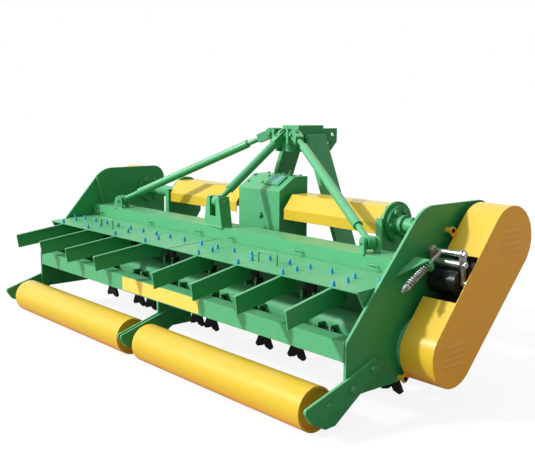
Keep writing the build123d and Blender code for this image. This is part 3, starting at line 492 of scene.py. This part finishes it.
def cover_bolts():
    """Blue cap nuts in a row along each cover, and two over each guide vane."""
    bm = bmesh.new()
    places = [(LAP_FIRST_RIGHT + LAP_PITCH * number, LAP_ROW) for number in range(LAP_COUNT)]
    places += [(LAP_FIRST_LEFT - LAP_PITCH * number, LAP_ROW) for number in range(LAP_COUNT)]
    places += [(side * x, station) for side in SIDES for x in VANE_X for station in VANE_ROWS]
    for x, station in places:
        cap_nut(bm, on_cover(x, station), COVER_NORMAL)
    finish_piece("cover_bolts", bm, blue_zinc, "frame")


SEAM_FROM = 0.162
SEAM_TO = 0.434
SEAM_WIDTH = 0.006
SEAM_T = 0.0006


def painted_seam_shadow():
    """Painted shadow: a thin black strip along the joint of the two covers, where the joint's shade falls."""
    bm = bmesh.new()
    centre = on_cover(0, (SEAM_FROM + SEAM_TO) / 2)
    along = (on_cover(0, SEAM_TO) - on_cover(0, SEAM_FROM)).normalized()
    place = axes(centre, X_AXIS, along, X_AXIS.cross(along))
    prism(bm, place, rectangle(SEAM_WIDTH, SEAM_TO - SEAM_FROM), SEAM_T)
    finish_piece("painted_seam_shadow", bm, black_rubber, "frame")


HOOK_X = (1.022, 0.598, 0.130, -0.122, -0.559, -1.072)
HOOK_STATION = 0.431
HOOK_RISE = 0.028
HOOK_ARM = 0.054
HOOK_R = 0.0025
HOOK_BEND = 0.006
HOOK_BEND_MIDDLE = 0.002
HOOK_TIP = 0.018


def wire_hooks():
    """Bent wire hooks at the foot of the hood's rear wall."""
    bm = bmesh.new()
    for x in HOOK_X:
        foot = on_cover(x, HOOK_STATION) - Z_AXIS * HOOK_R
        corner = foot + Z_AXIS * HOOK_RISE
        end = corner - X_AXIS * HOOK_ARM
        tube(bm, [
            foot,
            corner - Z_AXIS * HOOK_BEND,
            corner - (Z_AXIS + X_AXIS) * HOOK_BEND_MIDDLE,
            corner - X_AXIS * HOOK_BEND,
            end,
            end + Y_AXIS * HOOK_BEND - X_AXIS * HOOK_BEND_MIDDLE,
            end + Y_AXIS * HOOK_TIP,
        ], HOOK_R)
    finish_piece("wire_hooks", bm, green_paint, "frame")


# Guide vanes, which droop behind the covers

VANE_SPLAY = 0.119
VANE_FRONT = 0.250
VANE_EDGE = 0.160
VANE_REAR = -0.092
VANE_DROOP = 0.027
VANE_T = 0.006
VANE_FLANGE = 0.032
VANE_LIP = 0.011
VANE_HEIGHT = 0.075
VANE_TIP_HEIGHT = 0.070


def vane_top(x, station, side):
    """Point on the upper edge of a vane that crosses the covers' edge at x."""
    top = on_cover(side * (x + VANE_SPLAY * (VANE_EDGE - station)), station) - Z_AXIS * COVER_T
    past = max(0.0, VANE_EDGE - station)
    top.z -= VANE_DROOP * past / (VANE_EDGE - VANE_REAR)
    return top


def guide_vanes():
    """Angle sections under the covers, bent down from the covers' edge on, with ends cut square."""
    bm = bmesh.new()
    for side in SIDES:
        for x in VANE_X:
            front, edge, rear = (vane_top(x, station, side) for station in (VANE_FRONT, VANE_EDGE, VANE_REAR))
            rings = []
            for top, way, height, flange in (
                (front, edge - front, VANE_HEIGHT, VANE_FLANGE),
                (edge, edge - front, VANE_HEIGHT, VANE_LIP),
                (rear, rear - edge, VANE_TIP_HEIGHT, VANE_LIP),
            ):
                outward = Z_AXIS.cross(way).normalized() * side
                up = way.cross(outward).normalized() * side
                section = (
                    (VANE_T / 2, 0), (VANE_T / 2, height), (-VANE_T / 2, height),
                    (-VANE_T / 2, VANE_T), (-flange, VANE_T), (-flange, 0),
                )
                rings.append([bm.verts.new(top + outward * across - up * depth) for across, depth in section])
            skin(bm, rings)
    piece = finish_piece("drooped_vanes", bm, green_paint, "frame")
    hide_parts("guide_vanes")


# Bolts on arms and bearings

ARM_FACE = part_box("roller_arm_right")[1].x
ARM_BOLTS = ((0.119, 0.147), (0.225, 0.200))
ARM_BOLT = 0.016
ARM_PIN = (0.0, 0.118)
ARM_PIN_BOLT = 0.009
SHAFT_FLANGE_X = 0.805
SHAFT_FLANGE_R = 0.063
ROTOR_FLANGE_X = PLATE_OUT + 0.016
ROTOR_FLANGE_R = 0.09
FLANGE_BOLT = 0.014
BOSS_R = 0.062
BOSS_T = 0.012
BOSS_BOLT = 0.012


def frame_bolts():
    """Bolts on the roller arms and round the bearings of cross shaft and rotor."""
    bm = bmesh.new()
    for side in SIDES:
        outward = X_AXIS * side
        for place in ARM_BOLTS:
            hex_bolt(bm, at(side * ARM_FACE, *place), outward, ARM_BOLT)
        hex_bolt(bm, at(side * ARM_FACE, *ARM_PIN), outward, ARM_PIN_BOLT)
        rotor_end = Vector((side * ROTOR_FLANGE_X, ROTOR.y, ROTOR.z))
        ring_bolts(bm, on_shaft(side * SHAFT_FLANGE_X), outward, SHAFT_FLANGE_R, FLANGE_BOLT)
        ring_bolts(bm, on_shaft(side * (PLATE_IN - BOSS_T)), -outward, BOSS_R, BOSS_BOLT)
        ring_bolts(bm, rotor_end, outward, ROTOR_FLANGE_R, FLANGE_BOLT)
    finish_piece("frame_bolts", bm, green_paint, "frame")


# Gearbox

GEARBOX_CREST = at(0, 0.800, 0.788)
GEARBOX_SHOULDER = at(0, 0.700, 0.722)
GEARBOX_BOLT = 0.008
LID_BOLT_X = (-0.12, 0.0, 0.12)
LID_BOLT_INSET = 0.018
LID_STUDS = ((-0.042, 0.846), (0.072, 0.844))
LID_STUD_PROFILE = (
    (0, 0), (0.011, 0), (0.011, 0.007), (0.007, 0.009), (0.007, 0.020), (0.004, 0.023), (0, 0.023),
)
LID_STUD_SEGMENTS = 16
CAP_X = 0.176
CAP_BOLT_R = 0.056
CAP_BOLT = 0.010
CAP_BOLT_TURN = math.pi / 6
SLOPE_BOLTS = ((-0.130, 0.052), (-0.026, 0.054), (-0.130, 0.108), (-0.026, 0.108))
DRAIN_X = 0.015
DRAIN_HEIGHT = 0.598
DRAIN_BOLT = 0.016
PAD_AT = Vector((0.055, 0.076, 0.0))
PAD_SIZE = (0.112, 0.072)
PAD_T = 0.009
PAD_BEVEL = 0.002
PLATE_SIZE = (0.096, 0.056)
PLATE_T = 0.0015
PLATE_BEVEL = 0.0005


def gearbox_slope():
    """Axes on the gearbox's sloping face: X to the right, Y up the slope and Z outward."""
    along = (GEARBOX_CREST - GEARBOX_SHOULDER).normalized()
    return axes(GEARBOX_SHOULDER, X_AXIS, along, X_AXIS.cross(along))


def gearbox_details():
    """Bolts on lid, slope and caps, two studs, the drain plug and the plate's pad."""
    bm = bmesh.new()
    for x in LID_BOLT_X:
        spot = Vector((x, GEARBOX_HIGH.y - LID_BOLT_INSET, GEARBOX_CREST.z))
        hex_bolt(bm, spot, Z_AXIS, GEARBOX_BOLT)
    for x, station in LID_STUDS:
        place = placed(at(x, station, GEARBOX_CREST.z), Z_AXIS)
        lathe(bm, place, LID_STUD_PROFILE, LID_STUD_SEGMENTS)
    for side in SIDES:
        ring_bolts(bm, on_shaft(side * CAP_X), X_AXIS * side, CAP_BOLT_R, CAP_BOLT, CAP_BOLT_TURN)
    slope = gearbox_slope()
    outward = slope.to_3x3() @ Z_AXIS
    for x, up in SLOPE_BOLTS:
        hex_bolt(bm, slope @ Vector((x, up, 0)), outward, GEARBOX_BOLT)
    prism(bm, slope @ Matrix.Translation(PAD_AT), rectangle(*PAD_SIZE), PAD_T, PAD_BEVEL)
    hex_bolt(bm, Vector((DRAIN_X, GEARBOX_LOW.y, DRAIN_HEIGHT)), -Y_AXIS, DRAIN_BOLT)
    finish_piece("gearbox_details", bm, green_paint, "frame")


def gearbox_plate():
    """Blank plate on the pad of the gearbox's sloping face."""
    bm = bmesh.new()
    place = gearbox_slope() @ Matrix.Translation(PAD_AT + Z_AXIS * PAD_T)
    prism(bm, place, rectangle(*PLATE_SIZE), PLATE_T, PLATE_BEVEL)
    finish_piece("gearbox_plate", bm, plate_metal, "frame")


# Belt drive: springs, nuts and guard bolts

DRIVE_RUN = SHAFT - ROTOR
DRIVE_ACROSS = X_AXIS.cross(DRIVE_RUN).normalized()
PIVOT_SHARE = 0.607
PIVOT_ACROSS = 0.194
CROSS_TUBE_SHARE = 0.36
ARM_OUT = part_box("tensioner_right")[1].x
SPRING_X = PLATE_OUT + 0.058
ROD_RUN = Vector((0, -0.212, -0.118))
ROD_WAY = ROD_RUN.normalized()
SPRING_FROM = 0.0955
SPRING_END = ROD_RUN.length - 0.0185
SPRING_TURNS = 10
SPRING_STEPS = 18
COIL_R = 0.0122
WIRE_R = 0.0028
PIVOT_BOLT = 0.014
AXLE_NUT = 0.013
AXLE_STUD = 0.006
ROD_NUT = 0.011
ROD_NUT_SET_BACK = 0.011
ROD_STUD = 0.012
GUARD_LUGS = ((0.83, 90.0, 0.025), (0.0, 180.0, 0.017), (0.5, -90.0, 0.017))
GUARD_LOWER_R = 0.123
GUARD_UPPER_R = 0.136
GUARD_BOLT = 0.008
LUG_FACE = PLATE_OUT + 0.031


def on_drive(x, share, across):
    """Point beside the line from rotor to cross shaft."""
    return Vector((x, 0, 0)) + Vector((0, ROTOR.y, ROTOR.z)) + DRIVE_RUN * share + DRIVE_ACROSS * across


def coil_springs():
    """Wound springs on the tensioners' rods, with their end turns closed."""
    bm = bmesh.new()
    start = on_drive(SPRING_X, PIVOT_SHARE, PIVOT_ACROSS)
    up = ROD_WAY.cross(X_AXIS)
    count = SPRING_TURNS * SPRING_STEPS
    run = SPRING_END - SPRING_FROM - 4 * WIRE_R
    for side in SIDES:
        points = []
        for step in range(count + 1):
            angle = 2 * math.pi * step / SPRING_STEPS
            opening = min(1.0, step / SPRING_STEPS) - min(1.0, (count - step) / SPRING_STEPS)
            along = SPRING_FROM + 2 * WIRE_R + run * step / count + WIRE_R * opening
            spoke = X_AXIS * math.cos(angle) + up * math.sin(angle)
            points.append(mirrored(start + ROD_WAY * along + spoke * COIL_R, side))
        tube(bm, points, WIRE_R)
    piece = finish_piece("coil_springs", bm, zinc, "frame")
    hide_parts("tension_springs")


def tension_nuts():
    """Nuts on the tensioners' pins and rods."""
    bm = bmesh.new()
    idler = middle("idlers")
    pivot = on_drive(ARM_OUT, PIVOT_SHARE, PIVOT_ACROSS)
    axle = Vector((ARM_OUT, idler.y, idler.z))
    cross_tube = pivot.lerp(axle, CROSS_TUBE_SHARE)
    rod_end = on_drive(SPRING_X, PIVOT_SHARE, PIVOT_ACROSS) + ROD_WAY * (SPRING_END + ROD_NUT_SET_BACK)
    for side in SIDES:
        outward = X_AXIS * side
        hex_bolt(bm, mirrored(pivot, side), outward, PIVOT_BOLT)
        hex_bolt(bm, mirrored(axle, side), outward, AXLE_NUT, AXLE_STUD)
        hex_bolt(bm, mirrored(cross_tube, side), outward, PIVOT_BOLT)
        hex_bolt(bm, mirrored(rod_end, side), mirrored(ROD_WAY, side), ROD_NUT, ROD_STUD)
    finish_piece("tension_nuts", bm, zinc, "frame")


def guard_bolts():
    """Bolts with washers on the guards' lugs."""
    bm = bmesh.new()
    for side in SIDES:
        for share, angle, overhang in GUARD_LUGS:
            reach = GUARD_LOWER_R + (GUARD_UPPER_R - GUARD_LOWER_R) * share + overhang
            turn = math.radians(angle)
            along = DRIVE_RUN.normalized() * (reach * math.cos(turn))
            spot = on_drive(LUG_FACE, share, reach * math.sin(turn)) + along
            hex_bolt(bm, mirrored(spot, side), X_AXIS * side, GUARD_BOLT)
    finish_piece("guard_bolts", bm, black_iron, "frame")


# Braces and welds

EAR_HALF = 0.036
BLOCK_PIN_HALF = 0.058
BRACE_ENDS = (
    (at(0.092, 0.858, 0.991), at(0.935, 0.480, 0.599), EAR_HALF),
    (at(0.0, 0.858, 0.985), at(-0.033, 0.470, 0.676), BLOCK_PIN_HALF),
    (at(-0.092, 0.858, 0.991), at(-0.935, 0.480, 0.599), EAR_HALF),
)
FORK_HALF = 0.0203
PIN_NUT = 0.013
FOOT_NUT = 0.009
EAR_FOOT = 0.027
BLOCK_HALF_ACROSS = 0.080
BLOCK_HALF_ALONG = 0.030
BRACKET_X = (0.779, 0.791)
BRACKET_REAR = 0.702
FRONT_PLATE = 0.790
FRONT_SHOULDER = 0.380
FLAT_END = 0.575
RIDGE = 0.441


def brace_ways(top, foot):
    """Level direction from a brace's top to its foot, and the direction of its pins."""
    level = Vector((foot.x - top.x, foot.y - top.y, 0)).normalized()
    return level, Vector((level.y, -level.x, 0))


def pin_nuts():
    """Nuts on both ends of the braces' pins."""
    bm = bmesh.new()
    for top, foot, pin_half in BRACE_ENDS:
        pin = brace_ways(top, foot)[1]
        for face in SIDES:
            hex_bolt(bm, top + pin * face * FORK_HALF, pin * face, PIN_NUT)
            hex_bolt(bm, foot + pin * face * pin_half, pin * face, FOOT_NUT)
    finish_piece("pin_nuts", bm, green_paint, "frame")


def front_slope(station):
    """Height of the hood's sloping front face."""
    return HOOD_TOP - (HOOD_TOP - FRONT_SHOULDER) * (station - FLAT_END) / (FRONT_PLATE - FLAT_END)


def weld_beads():
    """Beads at clevises, bearing brackets, beam ends and along the hood's ends."""
    bm = bmesh.new()
    for top, foot, pin_half in BRACE_ENDS:
        level, pin = brace_ways(top, foot)
        base = Vector((foot.x, foot.y, HOOD_TOP))
        block = pin_half == BLOCK_PIN_HALF
        across = pin * (BLOCK_HALF_ACROSS if block else EAR_HALF)
        along = level * (BLOCK_HALF_ALONG if block else EAR_FOOT)
        for face in SIDES:
            weld(bm, base + across * face - along, base + across * face + along)
        if block:
            weld(bm, base - across + along, base + across + along)
    for side in SIDES:
        for x in BRACKET_X:
            upper = at(side * x, BRACKET_REAR, front_slope(BRACKET_REAR))
            weld(bm, upper, at(side * x, FRONT_PLATE, FRONT_SHOULDER))
        end = side * PLATE_IN
        beam = [
            Vector((end, BEAM_LOW.y, BEAM_LOW.z)),
            Vector((end, BEAM_LOW.y, BEAM_HIGH.z)),
            Vector((end, BEAM_HIGH.y, BEAM_HIGH.z)),
        ]
        hood = [at(end, RIDGE, COVER_HIGH.z), at(end, RIDGE, HOOD_TOP), at(end, FLAT_END, HOOD_TOP)]
        for profile in (beam, hood):
            for start, finish in zip(profile, profile[1:]):
                weld(bm, start, finish)
    finish_piece("weld_beads", bm, green_paint, "frame")


# Side plates, rollers and beam

RIB_FOOT = (0.494, 0.557)
RIB_TOP = (0.453, 0.725)
RIB_DEPTH = 0.014
RIB_T = 0.010


def plate_ribs():
    """Flat bars on the inner faces of the side plates."""
    bm = bmesh.new()
    for side in SIDES:
        foot = at(side * PLATE_IN, *RIB_FOOT)
        run = at(side * PLATE_IN, *RIB_TOP) - foot
        along = run.normalized()
        inward = X_AXIS * -side
        place = axes(foot + inward * (RIB_DEPTH / 2), along.cross(inward), inward, along)
        prism(bm, place, rectangle(RIB_T, RIB_DEPTH), run.length)
    finish_piece("plate_ribs", bm, green_paint, "frame")


AXLE_CAP_R = 0.0215
AXLE_CAP_T = 0.0018
AXLE_CAP_RIM = 0.0008
AXLE_CAP_BEVEL = 0.002
AXLE_CAP_SEGMENTS = 40
AXLE_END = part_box("roller_right")[1].x


def axle_caps():
    """Painted ends of the rollers' axles, one piece for each roller."""
    for name, side in (("roller_right", 1), ("roller_left", -1)):
        bm = bmesh.new()
        end = Vector((side * AXLE_END, ROLLER.y, ROLLER.z))
        lathe(bm, placed(end, X_AXIS * side), [
            (0, 0), (AXLE_CAP_R, 0), (AXLE_CAP_R, AXLE_CAP_RIM),
            (AXLE_CAP_R - AXLE_CAP_BEVEL, AXLE_CAP_T), (0, AXLE_CAP_T),
        ], AXLE_CAP_SEGMENTS)
        finish_piece(f"{name}_cap", bm, green_paint, name)


STRIP_FROM = -0.300
STRIP_TO = 0.316
STRIP_MARGIN = 0.004
STRIP_T = 0.0008


def beam_strip():
    """Blank strip stuck to the rear face of the beam."""
    bm = bmesh.new()
    centre = Vector(((STRIP_FROM + STRIP_TO) / 2, BEAM_LOW.y, (BEAM_LOW.z + BEAM_HIGH.z) / 2))
    height = BEAM_HIGH.z - BEAM_LOW.z - 2 * STRIP_MARGIN
    place = axes(centre, X_AXIS, Z_AXIS, -Y_AXIS)
    prism(bm, place, rectangle(STRIP_TO - STRIP_FROM, height), STRIP_T)
    finish_piece("beam_strip", bm, strip_paint, "frame")


# Rotor bolts, found from the flails' own places

FLAIL_BOLT_R = 0.099
FLAIL_BOLT = 0.014
FLAIL_STUD = 0.006
LUG_OUT = 0.042
SAME_POINT = 1e-5


def flail_centres():
    """Mean point of each flail: the corners of the node's mesh, grouped by the edges that join them."""
    loose = bmesh.new()
    loose.from_mesh(nodes["flails"].data)
    bmesh.ops.remove_doubles(loose, verts=loose.verts, dist=SAME_POINT)
    waiting = set(loose.verts)
    centres = []
    for seed in loose.verts:
        if seed not in waiting:
            continue
        group = [seed]
        waiting.discard(seed)
        for vert in group:
            for edge in vert.link_edges:
                other = edge.other_vert(vert)
                if other in waiting:
                    waiting.discard(other)
                    group.append(other)
        centres.append(sum((vert.co for vert in group), Vector()) / len(group))
    loose.free()
    return centres


def flail_bolts():
    """A bolt head and a nut on the lugs of each flail."""
    bm = bmesh.new()
    for centre in flail_centres():
        axis_point = Vector((centre.x, ROTOR.y, ROTOR.z))
        spot = axis_point + (centre - axis_point).normalized() * FLAIL_BOLT_R
        hex_bolt(bm, spot + X_AXIS * LUG_OUT, X_AXIS, FLAIL_BOLT)
        hex_bolt(bm, spot - X_AXIS * LUG_OUT, -X_AXIS, FLAIL_BOLT, FLAIL_STUD)
    finish_piece("flail_bolts", bm, black_iron, "rotor")


# Drive input and hitch pins

SPLINES = 6
SPLINE_TIP = 0.01745
SPLINE_ROOT = 0.0149
SPLINE_SHARE = 0.52
JOURNAL_R = 0.022
JOURNAL_END = 0.892
JOURNAL_SEGMENTS = 40
SHAFT_CHAMFER = 0.0015
SHAFT_LOW, SHAFT_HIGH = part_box("pto_shaft")


def splined_shaft():
    """Six-spline input shaft with its plain journal."""
    bm = bmesh.new()
    start = Vector((0, SHAFT_LOW.y, SHAFT.z))
    journal = ROLLER.y + JOURNAL_END - SHAFT_LOW.y
    lathe(bm, axes(start, X_AXIS, -Z_AXIS, Y_AXIS), [
        (0, 0), (JOURNAL_R, 0), (JOURNAL_R, journal - SHAFT_CHAMFER),
        (JOURNAL_R - SHAFT_CHAMFER, journal), (0, journal),
    ], JOURNAL_SEGMENTS)
    half = SPLINE_SHARE / 2
    tooth = (
        (SPLINE_ROOT, -half), (SPLINE_TIP, -half), (SPLINE_TIP, 0.0), (SPLINE_TIP, half), (SPLINE_ROOT, half),
    )
    outline = []
    for number in range(SPLINES):
        for radius, turn in tooth:
            angle = (number + turn) * 2 * math.pi / SPLINES
            outline.append((radius * math.cos(angle), radius * math.sin(angle)))
    place = axes(start + Y_AXIS * journal, X_AXIS, -Z_AXIS, Y_AXIS)
    prism(bm, place, outline, SHAFT_HIGH.y - start.y - journal, SHAFT_CHAMFER)
    piece = finish_piece("splined_shaft", bm, turned_steel, "pto")
    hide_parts("pto_shaft")


PIN_END_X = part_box("hitch_plate_right")[1].x
PIN_PLACE = at(0, 1.012, 0.378)
LINCH_INSET = 0.012
LINCH_R = 0.0055
LINCH_HALF = 0.024
LINCH_TAPER = 0.004
LINCH_HEAD = 0.008
LINCH_SEGMENTS = 16
RING_R = 0.022
RING_WIRE = 0.0022
RING_STEPS = 28
RING_SHARE = 0.97
RING_SQUASH = 0.9
RING_OUT = 0.004


def linch_pins():
    """Linch pins with their rings, through the ends of the lower hitch pins."""
    bm = bmesh.new()
    point, head_r, top = 0.6 * LINCH_R, 1.8 * LINCH_R, LINCH_HALF + LINCH_HEAD
    for side in SIDES:
        centre = Vector((side * (PIN_END_X - LINCH_INSET), PIN_PLACE.y, PIN_PLACE.z))
        lathe(bm, placed(centre, Z_AXIS), [
            (0, -LINCH_HALF), (point, -LINCH_HALF), (LINCH_R, LINCH_TAPER - LINCH_HALF),
            (LINCH_R, LINCH_HALF), (head_r, LINCH_HALF), (head_r, top), (0, top),
        ], LINCH_SEGMENTS)
        head = centre + Z_AXIS * (LINCH_HALF + LINCH_HEAD / 2) + X_AXIS * (side * RING_OUT)
        points = []
        for step in range(RING_STEPS + 1):
            angle = 2 * math.pi * step / RING_STEPS * RING_SHARE
            sag = RING_R * (math.cos(angle) - 1) * RING_SQUASH
            points.append(head + Y_AXIS * (RING_R * math.sin(angle)) + Z_AXIS * sag)
        tube(bm, points, RING_WIRE)
    finish_piece("linch_pins", bm, zinc, "frame")


# Camera, from the photo's perspective

FOCAL_PIXELS = 815.8
PHOTO_WIDTH = 535
SENSOR = 36.0
AZIMUTH = math.radians(48.86)
ELEVATION = math.radians(8.73)
ROLL = math.radians(0.39)
CAMERA_PLACE = at(3.0652, -1.9182, 1.1290)


def make_camera():
    level_back = Vector((math.sin(AZIMUTH), -math.cos(AZIMUTH), 0))
    back = level_back * math.cos(ELEVATION) + Z_AXIS * math.sin(ELEVATION)
    level = Vector((math.cos(AZIMUTH), math.sin(AZIMUTH), 0))
    upright = back.cross(level)
    right = level * math.cos(ROLL) + upright * math.sin(ROLL)
    up = upright * math.cos(ROLL) - level * math.sin(ROLL)
    data = bpy.data.cameras.new("camera")
    data.sensor_width = SENSOR
    data.lens = FOCAL_PIXELS / PHOTO_WIDTH * SENSOR
    camera = bpy.data.objects.new("camera", data)
    camera.matrix_world = axes(CAMERA_PLACE, right, up, back)
    scene.collection.objects.link(camera)
    scene.camera = camera


# Light and floor

SUN_FROM = Vector((-0.50, -0.80, 0.62))
SUN_STRENGTH = 2.85
SUN_ANGLE = math.radians(4)
SUN_PLACE = Vector((0, 0, 5))
SKY_STRENGTH = 0.16
# Bright parts of the sky: direction, cosine at the edge and strength at the middle
GLOWS = (
    (SUN_FROM, 0.2, 1.28),
    (Vector((-0.30, 0.9, 0.22)), 0.2, 1.05),
)
WHITE = (1, 1, 1, 1)
FLOOR_HALF = 30.0
FLOOR_T = 0.01
FLOOR_BOUNCE = (0.36, 0.35, 0.33, 1)
FLOOR_SEEN = (0.95, 0.95, 0.95, 1)
FLOOR_LIFT = 0.88


def make_light():
    """A soft sun, and a sky that the camera sees as plain white."""
    lamp = bpy.data.lights.new("key", "SUN")
    lamp.energy = SUN_STRENGTH
    lamp.angle = SUN_ANGLE
    key = bpy.data.objects.new("key", lamp)
    key.matrix_world = placed(SUN_PLACE, SUN_FROM)
    scene.collection.objects.link(key)
    world = bpy.data.worlds.new("world")
    scene.world = world
    world.use_nodes = True
    tree = world.node_tree
    seen = shader_node(tree, "ShaderNodeLightPath").outputs["Is Camera Ray"]
    way = shader_node(tree, "ShaderNodeTexCoord").outputs["Generated"]
    total = SKY_STRENGTH
    for source, edge, peak in GLOWS:
        glow = remap(tree, dot_product(tree, way, source.normalized()), edge, 1.0, 0.0, peak)
        total = math_node(tree, "ADD", total, glow)
    hidden = math_node(tree, "MULTIPLY", total, math_node(tree, "SUBTRACT", 1.0, seen))
    background = tree.nodes["Background"]
    background.inputs["Color"].default_value = WHITE
    tree.links.new(math_node(tree, "ADD", seen, hidden), background.inputs["Strength"])


def make_floor():
    """Pale floor that is nearly white to the camera and keeps the shadows."""
    bm = bmesh.new()
    prism(bm, Matrix.Translation((0, 0, -FLOOR_T)), rectangle(2 * FLOOR_HALF, 2 * FLOOR_HALF), FLOOR_T)
    mesh = bpy.data.meshes.new("floor")
    bm.to_mesh(mesh)
    bm.free()
    made, tree, surface, coords = new_material("pale_floor")
    seen = shader_node(tree, "ShaderNodeLightPath").outputs["Is Camera Ray"]
    tone = mix_colour(tree, noise(tree, coords, 1.2, 3.0), shaded(FLOOR_SEEN, 0.98), FLOOR_SEEN)
    tree.links.new(mix_colour(tree, seen, FLOOR_BOUNCE, tone), surface.inputs["Base Color"])
    surface.inputs["Roughness"].default_value = 0.9
    surface.inputs["Specular IOR Level"].default_value = 0.0
    glow = shader_node(tree, "ShaderNodeEmission", Color=WHITE, Strength=1.0)
    lift = shader_node(tree, "ShaderNodeMixShader", Fac=math_node(tree, "MULTIPLY", seen, FLOOR_LIFT))
    tree.links.new(surface.outputs["BSDF"], lift.inputs[1])
    tree.links.new(glow.outputs["Emission"], lift.inputs[2])
    tree.links.new(lift.outputs["Shader"], tree.nodes["Material Output"].inputs["Surface"])
    mesh.materials.append(made)
    floor = bpy.data.objects.new("floor", mesh)
    scene.collection.objects.link(floor)


scene.view_settings.view_transform = "Standard"
make_camera()
make_light()
make_floor()
cover_bolts()
guide_vanes()
frame_bolts()
gearbox_details()
gearbox_plate()
coil_springs()
tension_nuts()
guard_bolts()
pin_nuts()
weld_beads()
plate_ribs()
painted_seam_shadow()
axle_caps()
beam_strip()
wire_hooks()
flail_bolts()
splined_shaft()
linch_pins()
